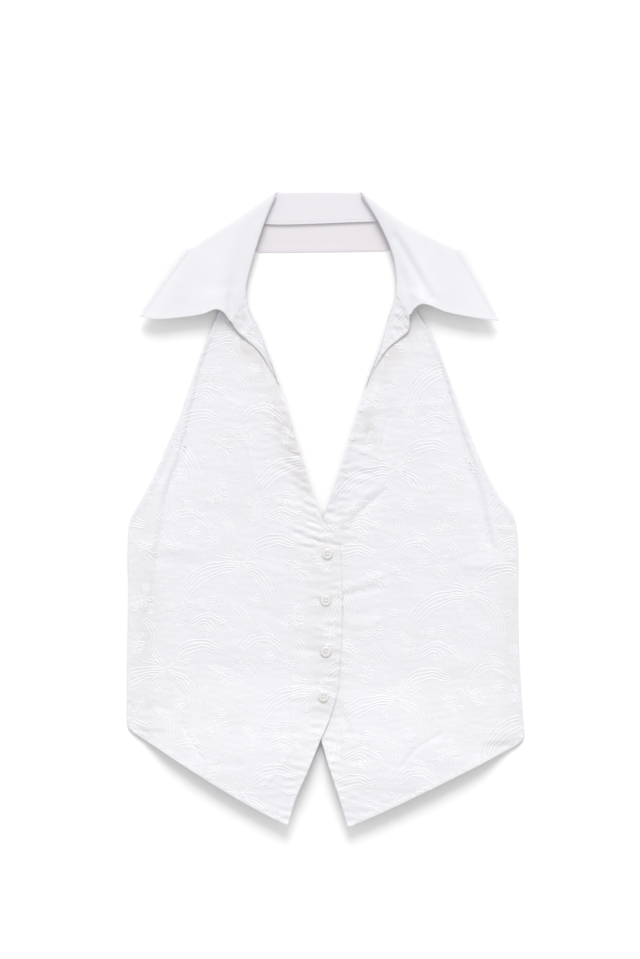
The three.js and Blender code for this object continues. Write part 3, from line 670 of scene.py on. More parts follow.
@dataclass(frozen=True)
class Ripples:
    """Small uneven waves in cloth, as a sum of plane waves with a fixed seed."""

    seed: int
    shortest: float
    longest: float
    heading: float
    spread: float
    height: float
    count: int = 28

    def at(self, x: Array, y: Array) -> Array:
        """The height of the waves at points in plan, in millimetres."""
        rng = np.random.default_rng(self.seed)
        total = np.zeros(np.shape(x))
        for _ in range(self.count):
            wave = 2 * np.pi / rng.uniform(self.shortest, self.longest)
            angle = math.radians(self.heading + rng.uniform(-self.spread, self.spread))
            phase = rng.uniform(0, 2 * np.pi)
            total += np.sin(wave * (x * math.cos(angle) + y * math.sin(angle)) + phase)
        return self.height * total / math.sqrt(self.count / 2)


@dataclass(frozen=True)
class Hem:
    """A narrow turned hem: a raised band, a line of stitches and a rounded edge."""

    width: float = 4.8
    raise_by: float = 0.32
    groove: float = 0.22
    groove_width: float = 0.55
    edge_radius: float = 0.8
    edge_drop: float = 0.45
    stitch_inset: float = 0.9
    step: tuple[float, float] = (0.4, 0.5)

    def relief(self, distance: Array) -> Array:
        """What the hem adds to the cloth's height at a distance from its edge."""
        inner, outer = self.width - self.step[0], self.width + self.step[1]
        raised = self.raise_by * (1 - smoothstep(distance, inner, outer))
        groove = self.groove * bell(distance - self.width + self.stitch_inset, self.groove_width)
        return raised - groove - self.edge_drop * round_drop(distance, self.edge_radius)


# Waves of the cloth, and its hems
GATHERS = Ripples(seed=11, shortest=7, longest=16, heading=90, spread=22, height=0.16)
PUCKERS = Ripples(seed=5, shortest=5, longest=10, heading=90, spread=70, height=0.10)
SETTLING = Ripples(seed=23, shortest=26, longest=70, heading=0, spread=180, height=0.16)
LAPEL_RIPPLES = Ripples(seed=31, shortest=6, longest=16, heading=55, spread=40, height=0.15)
LAPEL_HEM = Hem(edge_radius=0.25)
COLLAR_HEM = Hem(4.6, 0.22, 0.16, groove_width=0.6, edge_radius=0.6, edge_drop=0.25, stitch_inset=0.6)


def to_metres(points: Array) -> Array:
    """Plan millimetres to metres in the frame, whose origin lies under the garment's middle."""
    low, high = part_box("button_2")
    centre = (low + high) / 2
    origin = np.array([centre.x - BUTTONS[1][0] * MM, centre.y - BUTTONS[1][1] * MM, 0.0])
    return np.asarray(points, float) * MM + origin


def grid_normals(grid: Array) -> Array:
    """The unit normals of a grid of points."""
    return unit(np.cross(np.gradient(grid, axis=0), np.gradient(grid, axis=1)))


def new_object(name: str, data: bpy.types.ID) -> bpy.types.Object:
    """Links a new object for a mesh, a lamp or a camera into the scene."""
    obj = bpy.data.objects.new(name, data)
    bpy.context.scene.collection.objects.link(obj)
    return obj


def grid_shell(name: str, outer: Array, inner: Array, weave: Array,
               outer_tint: Array | float = 0.0, inner_tint: Array | float = 0.0) -> bpy.types.Object:
    """A closed shell of cloth between two grids of points.

    Args:
        name: The piece's name.
        outer: Grid of the cloth's outer face, in millimetres.
        inner: Grid of its inner face.
        weave: Grid of two coordinates in millimetres that follow the threads, for the UV map.
        outer_tint: How far the finish's tint shows on the outer face, from 0 to 1: painted shade, and cream
            where layers show through.
        inner_tint: The same for the inner face.

    Returns:
        The new object, with its faces pointing outwards.
    """
    rows, columns = outer.shape[:2]
    index = np.arange(rows * columns).reshape(rows, columns)
    back = index + rows * columns
    faces = np.concatenate([quads_of(index), quads_of(back)[:, ::-1]])
    loop = np.concatenate([index[0, :-1], index[:-1, -1], index[-1, :0:-1], index[:0:-1, 0]])
    after = np.roll(loop, -1)
    rim = np.column_stack([after, loop, loop + rows * columns, after + rows * columns])
    points = np.concatenate([outer.reshape(-1, 3), inner.reshape(-1, 3)])
    mesh = closed_mesh(name, to_metres(points), np.concatenate([faces, rim]), smooth=len(faces))
    threads = np.concatenate([weave.reshape(-1, 2)] * 2) * MM
    corners = np.empty(len(mesh.loops), int)
    mesh.loops.foreach_get("vertex_index", corners)
    mesh.uv_layers.new(name="Weave").data.foreach_set("uv", threads[corners].ravel())
    tint = np.concatenate([np.broadcast_to(t, (rows, columns)).ravel() for t in (outer_tint, inner_tint)])
    # The tint attribute holds painted shade as well as the cloth's own tint.
    mesh.attributes.new("Tint", "FLOAT", "POINT").data.foreach_set("value", tint.astype(np.float32))
    mesh.update()
    return new_object(name, mesh)


def closed_mesh(name: str, points: Array, quads: Array, smooth: int) -> bpy.types.Mesh:
    """A closed mesh of quads that face outwards.

    Args:
        name: The mesh's name.
        points: Its points in metres.
        quads: Its faces as numbers of points, all wound the same way.
        smooth: How many faces are shaded smooth, counted from the first.

    Returns:
        The new mesh.
    """
    if signed_volume(points, quads) < 0:
        quads = quads[:, ::-1]
    mesh = bpy.data.meshes.new(name)
    mesh.from_pydata(points.tolist(), [], quads.tolist())
    mesh.polygons.foreach_set("use_smooth", np.arange(len(quads)) < smooth)
    return mesh


def quads_of(index: Array) -> Array:
    """The quads between the neighbours of a grid of vertex numbers."""
    corners = (index[:-1, :-1], index[1:, :-1], index[1:, 1:], index[:-1, 1:])
    return np.column_stack([c.ravel() for c in corners])


def signed_volume(points: Array, quads: Array) -> float:
    """The volume that closed quads enclose, negative where they face inwards."""
    total = 0.0
    for corners in (quads[:, [0, 1, 2]], quads[:, [0, 2, 3]]):
        a, b, c = (points[corners[:, k]] for k in range(3))
        total += float(np.sum(a * np.cross(b, c)))
    return total


def path_object(name: str, paths: Sequence[Line]) -> bpy.types.Object:
    """A wire mesh that holds open paths in millimetres, each as a chain of edges."""
    counts = [len(path) for path in paths]
    starts = np.concatenate([[0], np.cumsum(counts)[:-1]])
    edges = [(s + k, s + k + 1) for s, n in zip(starts, counts) for k in range(n - 1)]
    mesh = bpy.data.meshes.new(name)
    mesh.from_pydata(to_metres(np.concatenate(paths)).tolist(), edges, [])
    return new_object(name, mesh)


def fill(tree: bpy.types.NodeTree, node: bpy.types.Node, inputs: Inputs) -> bpy.types.Node:
    """Gives a node its inputs.

    Args:
        tree: The node's tree.
        node: The node.
        inputs: Values by a socket's name or number: a socket is linked, and any other value is set.

    Returns:
        The same node.
    """
    for key, value in inputs.items():
        if isinstance(value, Socket):
            tree.links.new(value, node.inputs[key])
        else:
            node.inputs[key].default_value = value
    return node


def add_node(tree: bpy.types.NodeTree, kind: str, inputs: Inputs | None = None,
             **settings: str) -> bpy.types.Node:
    """Adds a node of a kind to a tree, with its inputs as in fill, and its properties."""
    made = tree.nodes.new(kind)
    for key, value in settings.items():
        setattr(made, key, value)
    return fill(tree, made, inputs or {})


class Tree:
    """A Geometry Nodes tree that turns a wire mesh into solid thread, built node by node."""

    def __init__(self, name: str, sizes: dict[str, float], material: bpy.types.Material) -> None:
        """Makes the tree with its named inputs.

        Args:
            name: The tree's name.
            sizes: Named sizes in millimetres, which become the modifier's inputs in metres.
            material: The finish that its last node sets.
        """
        self.group = bpy.data.node_groups.new(name, "GeometryNodeTree")
        self.sizes = {key: size * MM for key, size in sizes.items()}
        self.material = material
        face = self.group.interface
        face.new_socket("Paths", in_out="INPUT", socket_type="NodeSocketGeometry")
        for key in sizes:
            face.new_socket(key, in_out="INPUT", socket_type="NodeSocketFloat")
        face.new_socket("Thread", in_out="OUTPUT", socket_type="NodeSocketGeometry")
        self.given = add_node(self.group, "NodeGroupInput").outputs

    def node(self, kind: str, inputs: Inputs | None = None, **settings: str) -> Socket:
        """Adds a node and gives its first output."""
        return add_node(self.group, kind, inputs, **settings).outputs[0]

    def finish(self, geometry: Socket) -> "Tree":
        """Ends the tree in realized instances, smooth shading and its material."""
        whole = self.node("GeometryNodeRealizeInstances", {"Geometry": geometry})
        smooth = self.node("GeometryNodeSetShadeSmooth", {"Geometry": whole})
        dressed = self.node("GeometryNodeSetMaterial", {"Geometry": smooth, "Material": self.material})
        add_node(self.group, "NodeGroupOutput", {0: dressed})
        return self

    def apply(self, wires: bpy.types.Object) -> bpy.types.Object:
        """Runs the tree on a wire mesh.

        Args:
            wires: The object that holds the paths.

        Returns:
            The same object, now a plain mesh with no modifier left on it.
        """
        modifier = wires.modifiers.new(self.group.name, "NODES")
        modifier.node_group = self.group
        for item in self.group.interface.items_tree:
            if item.in_out == "INPUT" and item.name in self.sizes:
                modifier[item.identifier] = self.sizes[item.name]
        graph = bpy.context.evaluated_depsgraph_get()
        graph.update()
        mesh = bpy.data.meshes.new_from_object(wires.evaluated_get(graph))
        wires.modifiers.clear()
        old = wires.data
        wires.data = mesh
        bpy.data.meshes.remove(old)
        mesh.name = wires.name
        if not mesh.materials:
            mesh.materials.append(self.material)
        return wires


def cord_tree(name: str, width: float, height: float, material: bpy.types.Material) -> Tree:
    """Thread laid along paths as a flattened cord.

    Args:
        name: The tree's name.
        width: The cord's width in millimetres.
        height: Its height.
        material: Its finish.

    Returns:
        The finished tree.
    """
    tree = Tree(name, {"Width": width, "Height": height}, material)
    curve = tree.node("GeometryNodeMeshToCurve", {"Mesh": tree.given["Paths"]})
    upright = tree.node("GeometryNodeSetCurveNormal", {"Curve": curve}, mode="Z_UP")
    ring = tree.node("GeometryNodeCurvePrimitiveCircle", {"Resolution": CORD_SIDES, "Radius": 0.5})
    size = tree.node("ShaderNodeCombineXYZ", {"X": tree.given["Width"], "Y": tree.given["Height"]})
    flat = tree.node("GeometryNodeTransform", {"Geometry": ring, "Scale": size})
    sweep = {"Curve": upright, "Profile Curve": flat, "Fill Caps": True}
    return tree.finish(tree.node("GeometryNodeCurveToMesh", sweep))


def stitch_tree(name: str, material: bpy.types.Material) -> Tree:
    """Single stitches set along paths at an even pitch, for seams and topstitching."""
    tree = Tree(name, {"Pitch": STITCH_PITCH, "Length": STITCH_LENGTH, "Width": STITCH_WIDTH}, material)
    paths, pitch, length, width = (tree.given[key] for key in ("Paths", "Pitch", "Length", "Width"))
    curve = tree.node("GeometryNodeMeshToCurve", {"Mesh": paths})
    even = tree.node("GeometryNodeResampleCurve", {"Curve": curve, "Length": pitch}, mode="LENGTH")
    along = {"Vector": tree.node("GeometryNodeInputTangent")}
    turn = tree.node("FunctionNodeAlignRotationToVector", along, axis="X", pivot_axis="AUTO")
    ball = {"Segments": BEAD_SIDES, "Rings": BEAD_RINGS, "Radius": 0.5}
    bead = tree.node("GeometryNodeMeshUVSphere", ball)
    size = tree.node("ShaderNodeCombineXYZ", {"X": length, "Y": width, "Z": width})
    set_down = {"Points": even, "Instance": bead, "Rotation": turn, "Scale": size}
    return tree.finish(tree.node("GeometryNodeInstanceOnPoints", set_down))


class Shader:
    """A material's node tree, with short ways to add its nodes."""

    def __init__(self, name: str) -> None:
        """Makes the material with its Principled shader."""
        self.material = bpy.data.materials.new(name)
        self.material.use_nodes = True
        self.tree = self.material.node_tree
        self.surface = self.tree.nodes["Principled BSDF"]

    def node(self, kind: str, output: str | int, inputs: Inputs | None = None, **settings: str) -> Socket:
        """Adds a node and gives one of its outputs."""
        return add_node(self.tree, kind, inputs, **settings).outputs[output]

    def coordinates(self, output: str, scale: tuple[float, float, float] = (1, 1, 1)) -> Socket:
        """Object or UV coordinates in metres, scaled."""
        source = self.node("ShaderNodeTexCoord", output)
        return self.node("ShaderNodeMapping", "Vector", {"Vector": source, "Scale": scale})

    def noise(self, vector: Socket, scale: float, detail: float) -> Socket:
        """Noise of a scale per metre."""
        return self.node("ShaderNodeTexNoise", "Fac", {"Vector": vector, "Scale": scale, "Detail": detail})

    def threads(self, vector: Socket, pitch: float, direction: str) -> Socket:
        """Parallel uneven threads at a pitch in metres."""
        inputs = {"Vector": vector, "Scale": math.pi / (10 * pitch), "Distortion": 1.2, "Detail": 1.0}
        return self.node("ShaderNodeTexWave", "Fac", inputs, bands_direction=direction)

    def math(self, operation: str, first: Socket, second: Socket | float) -> Socket:
        """One arithmetic step on two values."""
        return self.node("ShaderNodeMath", "Value", {0: first, 1: second}, operation=operation)

    def mix(self, share: Socket, first: Socket | Colour, second: Colour, blend_type: str = "MIX") -> Socket:
        """One colour mixed towards another, or multiplied by it, by a share from 0 to 1."""
        start = first if isinstance(first, Socket) else (*first, 1)
        inputs = {"Factor": share, MIX_FIRST: start, MIX_SECOND: (*second, 1)}
        return self.node("ShaderNodeMix", MIX_RESULT, inputs, data_type="RGBA", blend_type=blend_type)

    def bump(self, height: Socket, distance: float, strength: float, below: Socket | None = None) -> Socket:
        """A bump of a height in metres, on top of another one."""
        inputs = {"Height": height, "Distance": distance, "Strength": strength}
        if below is not None:
            inputs["Normal"] = below
        return self.node("ShaderNodeBump", "Normal", inputs)

    def set(self, **values: Socket | float | tuple) -> bpy.types.Material:
        """Gives the Principled shader its own inputs, and gives back the material."""
        fill(self.tree, self.surface, {key.replace("_", " "): value for key, value in values.items()})
        return self.material


@dataclass(frozen=True)
class CottonFinish:
    """Crinkled plain-weave cotton, matt, with uneven threads. Sizes are in metres."""

    name: str
    pale: Colour
    deep: Colour
    # The colour multiplied in by the tint attribute: painted shade, and cream where layers show through.
    tint: Colour = (0.915, 0.89, 0.858)
    thread_pitch: float = 0.0006
    crinkle_scale: float = 210.0
    crinkle_height: float = 0.0004
    weave_height: float = 0.00012
    sheen: float = 0.15
    crinkle_stretch: float = 0.45
    mottle_scale: float = 28.0

    def material(self) -> bpy.types.Material:
        """Builds the material."""
        shader = Shader(self.name)
        threads = shader.coordinates("UV")
        warp, weft = (shader.threads(threads, self.thread_pitch, axis) for axis in "XY")
        stretched = shader.coordinates("UV", (self.crinkle_stretch, 1, 1))
        crinkle = shader.noise(stretched, self.crinkle_scale, 4)
        mottle = shader.math("MULTIPLY", shader.noise(threads, self.mottle_scale, 3), 0.7)
        # The tone follows the crinkle a little, so its hollows are darker: painted shade, on top of the
        # random mottle.
        tone = shader.math("ADD", mottle, shader.math("MULTIPLY", crinkle, 0.3))
        # Where the mesh's tint attribute is set, the tint colour is multiplied in: painted shade, and the
        # cloth's own cream.
        shown = shader.node("ShaderNodeAttribute", "Fac", attribute_name="Tint")
        colour = shader.mix(shown, shader.mix(tone, self.deep, self.pale), self.tint, "MULTIPLY")
        folds = shader.bump(crinkle, self.crinkle_height, 1.0)
        weave = shader.bump(shader.math("ADD", warp, weft), self.weave_height, 0.6, folds)
        return shader.set(Base_Color=colour, Normal=weave, Roughness=0.9, Specular_IOR_Level=0.25,
                          Sheen_Weight=self.sheen, Sheen_Roughness=0.5)


@dataclass(frozen=True)
class ThreadFinish:
    """Twisted white thread, a little glossier than the cloth."""

    name: str
    pale: Colour
    deep: Colour
    twist_scale: float = 900.0
    tone_scale: float = 60.0

    def material(self) -> bpy.types.Material:
        """Builds the material."""
        shader = Shader(self.name)
        place = shader.coordinates("Object")
        twist = shader.bump(shader.noise(place, self.twist_scale, 1), 0.0002, 0.6)
        colour = shader.mix(shader.noise(place, self.tone_scale, 2), self.deep, self.pale)
        return shader.set(Base_Color=colour, Normal=twist, Roughness=0.6, Specular_IOR_Level=0.35,
                          Sheen_Weight=0.1)


@dataclass(frozen=True)
class PearlFinish:
    """Milky plastic with a pearly sheen, for shirt buttons."""

    name: str = "pearl_button"
    deep: Colour = (0.665, 0.655, 0.64)
    pale: Colour = (0.745, 0.735, 0.72)
    cloud_scale: float = 260.0

    def material(self) -> bpy.types.Material:
        """Builds the material."""
        shader = Shader(self.name)
        cloud = shader.noise(shader.coordinates("Object"), self.cloud_scale, 4)
        return shader.set(
            Base_Color=shader.mix(cloud, self.deep, self.pale), Roughness=0.22, Coat_Weight=0.6,
            Coat_Roughness=0.12, Subsurface_Weight=0.15, Subsurface_Radius=(0.002, 0.002, 0.0018),
            Subsurface_Scale=0.5,
        )


@dataclass(frozen=True)
class TableFinish:
    """The plain pale surface that the garment is laid on."""

    name: str = "studio_table"
    grey: float = 0.935

    def material(self) -> bpy.types.Material:
        """Builds the material."""
        shader = Shader(self.name)
        return shader.set(Base_Color=(*[self.grey] * 3, 1), Roughness=1.0, Specular_IOR_Level=0.0)


@dataclass(frozen=True)
class Finishes:
    """Every finish of the garment, made once and shared by its pieces."""

    cotton: bpy.types.Material
    poplin: bpy.types.Material
    cord: bpy.types.Material
    stitch: bpy.types.Material
    pearl: bpy.types.Material

    @classmethod
    def make(cls) -> "Finishes":
        """Builds all the materials."""
        return cls(
            cotton=CottonFinish(
                "embroidered_cotton", (0.802, 0.796, 0.829), (0.77, 0.764, 0.796),
            ).material(),
            # The poplin's tint is painted shade on the stand, and the darker tone of the fall's inner face.
            poplin=CottonFinish(
                "collar_poplin", (0.787, 0.779, 0.814), (0.768, 0.76, 0.796), (0.955, 0.925, 0.925),
                thread_pitch=0.0004, crinkle_scale=120.0, crinkle_height=0.00008, weave_height=0.00005,
                sheen=0.1,
            ).material(),
            cord=ThreadFinish("embroidery_cord", (0.806, 0.80, 0.83), (0.776, 0.77, 0.80)).material(),
            stitch=ThreadFinish("sewing_thread", (0.81, 0.803, 0.832), (0.775, 0.768, 0.80)).material(),
            pearl=PearlFinish().material(),
        )


def settle(piece: bpy.types.Object, slot: str, *nodes: str,
           finish: bpy.types.Material | None = None) -> bpy.types.Object:
    """Makes a finished piece part of the garment.

    Args:
        piece: The object.
        slot: The record's material slot for the piece; not used.
        nodes: The solids of the frame that it stands for.
        finish: The material that it is given, if its mesh has none.

    Returns:
        The same object.
    """
    if finish is not None:
        piece.data.materials.append(finish)
    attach(piece, BODY)
    if nodes:
        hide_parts(*nodes)
    log.info("%s: %d faces", piece.name, len(piece.data.polygons))
    return piece


@dataclass(frozen=True)
class LaidFront:
    """The form of one laid front: its outline, its laid height and the relief of its cloth."""

    side: Side
    rows: tuple[FrontRow, ...]
    hem: Hem = Hem()
    line_steps: int = 240

    @property
    def name(self) -> str:
        """The name of the front's solid."""
        return f"{self.side.value}_front"

    def column(self, first: int, shares: Array) -> Line:
        """One long edge in plan, from the column of the rows that holds its x."""
        return smooth_line([row[first : first + 2] for row in self.rows], shares)

    @property
    def side_edge(self) -> Line:
        """The armhole edge, then the side seam."""
        return self.column(0, np.linspace(0, 1, self.line_steps))

    @property
    def neck_edge(self) -> Line:
        """The neck edge, then the placket and the cutaway."""
        return self.column(2, np.linspace(0, 1, self.line_steps))

    def across(self, share: float, shares: Array) -> Line:
        """Points in plan along one row across the front, from its side to its neck edge."""
        place = np.array([share])
        line = mix(self.column(0, place), self.column(2, place), shares[:, None])
        sag = table_value([row.sag for row in self.rows], place)[0]
        line[:, 1] -= sag * np.sin(np.pi * shares**SAG_LEAN)
        return line

    @property
    def hem_edge(self) -> Line:
        """The lower hem, from the side seam to the point."""
        return self.across(1.0, np.linspace(0, 1, self.line_steps))

    @property
    def outline(self) -> Line:
        """The whole outline as one closed line."""
        return np.concatenate([self.side_edge, self.hem_edge, self.neck_edge[::-1]])

    def lap(self, x: Array, y: Array) -> Array:
        """How far the left front climbs to lie on the right one at the placket."""
        if self.side is Side.RIGHT:
            return np.zeros(np.shape(x))
        return (FRONT_WALL + LAP_GAP) * smoothstep(x, *LAP_ACROSS) * smoothstep(-y, *LAP_DOWN)

    def laid(self, x: Array, y: Array) -> Array:
        """Height of the top of the solid front at points in plan."""
        return laid_height(x, y) + self.lap(x, y) + FRONT_WALL / 2

    def surface(self, x: Array, y: Array) -> Array:
        """Height of the cloth's upper face at points in plan, with all its relief."""
        edges = (self.side_edge, self.neck_edge, self.hem_edge)
        to_side, to_neck, to_hem = (distance_to(x, y, edge) for edge in edges)
        nearest = np.minimum(np.minimum(to_side, to_neck), to_hem)
        armhole = smoothstep(y, SEAM_TOP_Y - SEAM_BLEND, SEAM_TOP_Y + SEAM_BLEND)
        height = self.laid(x, y)
        height += self.hem.relief(to_side) * armhole + self.hem.relief(to_neck) + self.hem.relief(to_hem)
        height -= (1 - armhole) * SEAM_ROLL * round_drop(to_side, SEAM_ROLL_REACH)
        fine = crease_height(FINE_CREASES, x, y) + fold_height(FOLD_LINES, x, y)
        height += fine * smoothstep(nearest, 0, FINE_CREASE_FADE) + crease_height(CORNER_CREASES, x, y)
        height += LAPEL_ROLL * band(y, LAPEL_ROLL_STARTS, LAPEL_ROLL_ENDS) * bell(to_neck, LAPEL_ROLL_REACH)
        if self.side is Side.LEFT:
            buttoned = band(-y, PLACKET_SETTLE_STARTS, PLACKET_SETTLE_ENDS)
            height -= PLACKET_SETTLE * buttoned * (1 - smoothstep(to_neck, 0, PLACKET_SETTLE_REACH))
        near_placket = bell(to_neck, GATHER_REACH) * smoothstep(-y, *GATHER_DOWN)
        height += GATHERS.at(x, y) * (GATHER_LEAST + near_placket)
        height += PUCKERS.at(x, y) * bell(nearest, PUCKER_REACH) + SETTLING.at(x, y)
        return np.maximum(height, BACK_WALL + COTTON_THICKNESS + BACK_CLEARANCE)


def side_reach(rows: Sequence[FrontRow], y: Array) -> Array:
    """Half width of the laid fronts at a height of the garment."""
    out = np.array([row[:2] for row in rows])
    return np.interp(-y, -out[:, 1], np.abs(out[:, 0]))


def laid_height(x: Array, y: Array) -> Array:
    """Height of the middle of the front cloth, the same for both fronts where they overlap."""
    inward = np.where(x < 0, side_reach(LEFT_ROWS, y), side_reach(RIGHT_ROWS, y)) - np.abs(x)
    loft = LOFT * smoothstep(inward, 0, LOFT_REACH)
    curl = smoothstep(-y, -HEM_LIFT_TOP, -HEM_LIFT_BOTTOM)
    hem = HEM_LIFT * curl * smoothstep(inward, 0, HEM_LIFT_REACH)
    neck = NECK_RISE * smoothstep(y, NECK_RISE_BOTTOM, NECK_RISE_TOP)
    folds = crease_height(LAID_FOLDS, x, y) * smoothstep(inward, 0, FOLD_FADE)
    return SIDE_LEVEL + loft + hem + neck + folds


def edge_clustered(steps: int, length: float, offsets: Sequence[float]) -> Array:
    """Shares across a length, with extra places near both ends.

    Args:
        steps: Even steps between the clusters.
        length: The length in millimetres.
        offsets: Distances from an end where a place is wanted.

    Returns:
        Shares from 0 to 1.
    """
    near = np.array(offsets) * min(1.0, 0.25 * length / offsets[-1]) / length
    middle = np.linspace(near[-1], 1 - near[-1], steps + 1)
    return np.concatenate([near[:-1], middle, 1 - near[:-1][::-1]])


@dataclass
class FrontPanel:
    """One embroidered front as a thin shell over its solid."""

    form: LaidFront
    finishes: Finishes
    row_steps: int = 300
    column_steps: int = 122
    last_row: float = 30.0
    least_step: float = 1e-4

    def build(self) -> bpy.types.Object:
        """Makes the shell, with more rows near the hem."""
        shares = even_shares([row[2:4] for row in self.form.rows], self.row_steps)
        last = 1 - np.array(EDGE_PLACES[:-1])[::-1] / self.last_row / (len(self.form.rows) - 1)
        lines = []
        for share in np.concatenate([shares[shares < last[0] - self.least_step], last]):
            ends = self.form.across(share, np.array([0.0, 1.0]))
            width = float(np.hypot(*(ends[1] - ends[0])))
            lines.append(self.form.across(share, edge_clustered(self.column_steps, width, EDGE_PLACES)))
        plan = np.array(lines)
        x, y = plan[..., 0], plan[..., 1]
        top = np.dstack([x, y, self.form.surface(x, y)])
        bottom = top - np.array([0, 0, COTTON_THICKNESS])
        # The front's tint carries painted shade and cream from the patch table.
        piece = grid_shell(f"{self.form.name}_cloth", top, bottom, plan, outer_tint=painted_shade_and_cream_at(x, y))
        return settle(piece, COTTON_SLOT, self.form.name, finish=self.finishes.cotton)


@dataclass
class BackPanel:
    """The plain back of the body, which rests on the table under the fronts."""

    finishes: Finishes
    row_steps: int = 60
    column_steps: int = 90
    width: float = 400
    wave_share: float = 0.3

    def build(self) -> bpy.types.Object:
        """Makes the back's shell, flat underneath."""
        shares = np.linspace(0, 1, self.row_steps + 1)
        across = edge_clustered(self.column_steps, self.width, RIM_PLACES)
        left = smooth_line([(r.left_x, r.side_y) for r in BACK_ROWS], shares)
        right = smooth_line([(r.right_x, r.side_y) for r in BACK_ROWS], shares)
        sag = table_value([r.sag for r in BACK_ROWS], shares)
        plan = mix(left[:, None, :], right[:, None, :], across[None, :, None])
        plan[..., 1] -= sag[:, None] * np.sin(across * np.pi)
        x, y = plan[..., 0], plan[..., 1]
        lowest = np.dstack([x, y, np.zeros(x.shape)])
        top = np.dstack([x, y, np.full(x.shape, BACK_WALL) + self.wave_share * SETTLING.at(x, y)])
        piece = grid_shell("back_cloth", top, lowest, plan)
        return settle(piece, COTTON_SLOT, "back_panel", finish=self.finishes.cotton)


def plan_direction(start: Line, stop: Line) -> Line:
    """The level directions from one line's points to another's, of length 1."""
    return unit((stop - start) * np.array([1, 1, 0]))


@dataclass
class Facing:
    """A front facing turned out as a small lapel, rolled over from the neck edge."""

    form: LaidFront
    rows: tuple[LapelRow, ...]
    finishes: Finishes
    row_steps: int = 90
    column_steps: int = 22
    width: float = 20
    ripple_fade: float = 6
    roll_steps: int = 8
    roll_inset: float = 0.5
    roll_widest: float = 1.4
    tucks: tuple[tuple[float, float], ...] = ((5.0, 1.4), (3.4, 1.3), (2.2, 0.75), (1.2, 0.2), (0.6, 0.03))
    tuck_deepens: float = 1.6
    rim: tuple[float, float] = (0.4, 1.8)
    row_ahead: int = 8
    column_ahead: int = 4
    surface: Array = field(default=None, repr=False)

    @property
    def name(self) -> str:
        """The name of the facing's solid."""
        return f"{self.form.side.value}_facing"

    def upper(self, share: Array, across: Array) -> Array:
        """Points of the facing's upper face, for grids of shares along and across it."""
        neck = smooth_line([(r.neck_x, r.neck_y, r.neck_rise) for r in self.rows], share.ravel())
        free = smooth_line([(r.free_x, r.free_y, r.free_rise) for r in self.rows], share.ravel())
        across = across.ravel()
        plan = mix(neck[:, :2], free[:, :2], across[:, None])
        rise = mix(neck[:, 2], free[:, 2], np.sin(across * np.pi / 2))
        under = laid_height(plan[:, 0], plan[:, 1]) + self.form.lap(plan[:, 0], plan[:, 1])
        points = np.column_stack([plan, under + FRONT_WALL + SEAM_GAP + rise])
        return points.reshape(*share.shape, 3) + np.array([0, 0, FRONT_WALL / 2])

    def build(self) -> bpy.types.Object:
        """Makes the facing's shell with the roll that joins it to the front."""
        columns = edge_clustered(self.column_steps, self.width, RIM_PLACES)
        outer = self.upper(*np.meshgrid(np.linspace(0, 1, self.row_steps + 1), columns, indexing="ij"))
        length = lengths_along(outer, 1)
        to_free = length[:, -1:] - length
        x, y = outer[..., 0], outer[..., 1]
        ruffle = LAPEL_RIPPLES.at(x, y) + fold_height(LAPEL_FOLDS, x, y)
        outer[..., 2] += ruffle * smoothstep(length, 0, self.ripple_fade) + LAPEL_HEM.relief(to_free)
        self.surface = outer
        # The tint darkens and creams the cloth along the free edge.
        tint = 1 - smoothstep(to_free, *self.rim)
        roll = self.roll(outer)
        outer = np.concatenate([roll, outer[:, 1:]], axis=1)
        tint = np.concatenate([np.zeros(roll.shape[:2]), tint[:, 1:]], axis=1)
        outer = np.concatenate([self.tucked(outer), outer])
        # The rows tucked under the collar leaf take the whole tint: painted shade under the leaf's edge.
        tint = np.concatenate([np.ones((len(self.tucks), tint.shape[1])), tint])
        normal = grid_normals(outer)
        if normal[:, -1, 2].mean() < 0:
            normal = -normal
        weave = np.dstack([lengths_along(outer, 1), lengths_along(outer, 0)])
        inner = outer - normal * COTTON_THICKNESS
        piece = grid_shell(f"{self.name}_cloth", outer, inner, weave, outer_tint=tint)
        return settle(piece, COTTON_SLOT, self.name, finish=self.finishes.cotton)

    @property
    def outline(self) -> Line:
        """The turned-out facing's outline in plan."""
        return np.concatenate([self.surface[:, 0, :2], self.surface[::-1, -1, :2]])

    def height_at(self, x: Array, y: Array) -> Array:
        """Height of the facing's upper face at points in plan."""
        known = self.surface.reshape(-1, 3)
        nearest = [np.argmin((known[:, 0] - a) ** 2 + (known[:, 1] - b) ** 2) for a, b in zip(x, y)]
        return known[nearest, 2]

    def tucked(self, outer: Array) -> Array:
        """Rows that carry the facing's top on under the collar leaf."""
        away = plan_direction(outer[self.row_ahead], outer[0])
        deepens = mix(1.0, self.tuck_deepens, np.linspace(0, 1, len(away)))
        rows = []
        for step, sink in self.tucks:
            row = outer[0] + away * step
            row[:, 2] -= sink * deepens
            rows.append(row)
        return np.array(rows)

    def roll(self, outer: Array) -> Array:
        """The round fold from the front's underside up to the facing's neck edge."""
        neck = outer[:, 0]
        away = plan_direction(outer[:, self.column_ahead], neck)
        bottom = self.form.laid(neck[:, 0], neck[:, 1]) - COTTON_THICKNESS
        radius = (neck[:, 2] - bottom) / 2
        lines = []
        for angle in np.linspace(-np.pi / 2, np.pi / 2, self.roll_steps + 1):
            out = np.minimum(radius, self.roll_widest) * math.cos(angle)
            point = neck - away * self.roll_inset + away * out[:, None]
            point[:, 2] = bottom + radius * (1 + math.sin(angle))
            lines.append(point)
        return np.array(lines).transpose(1, 0, 2)


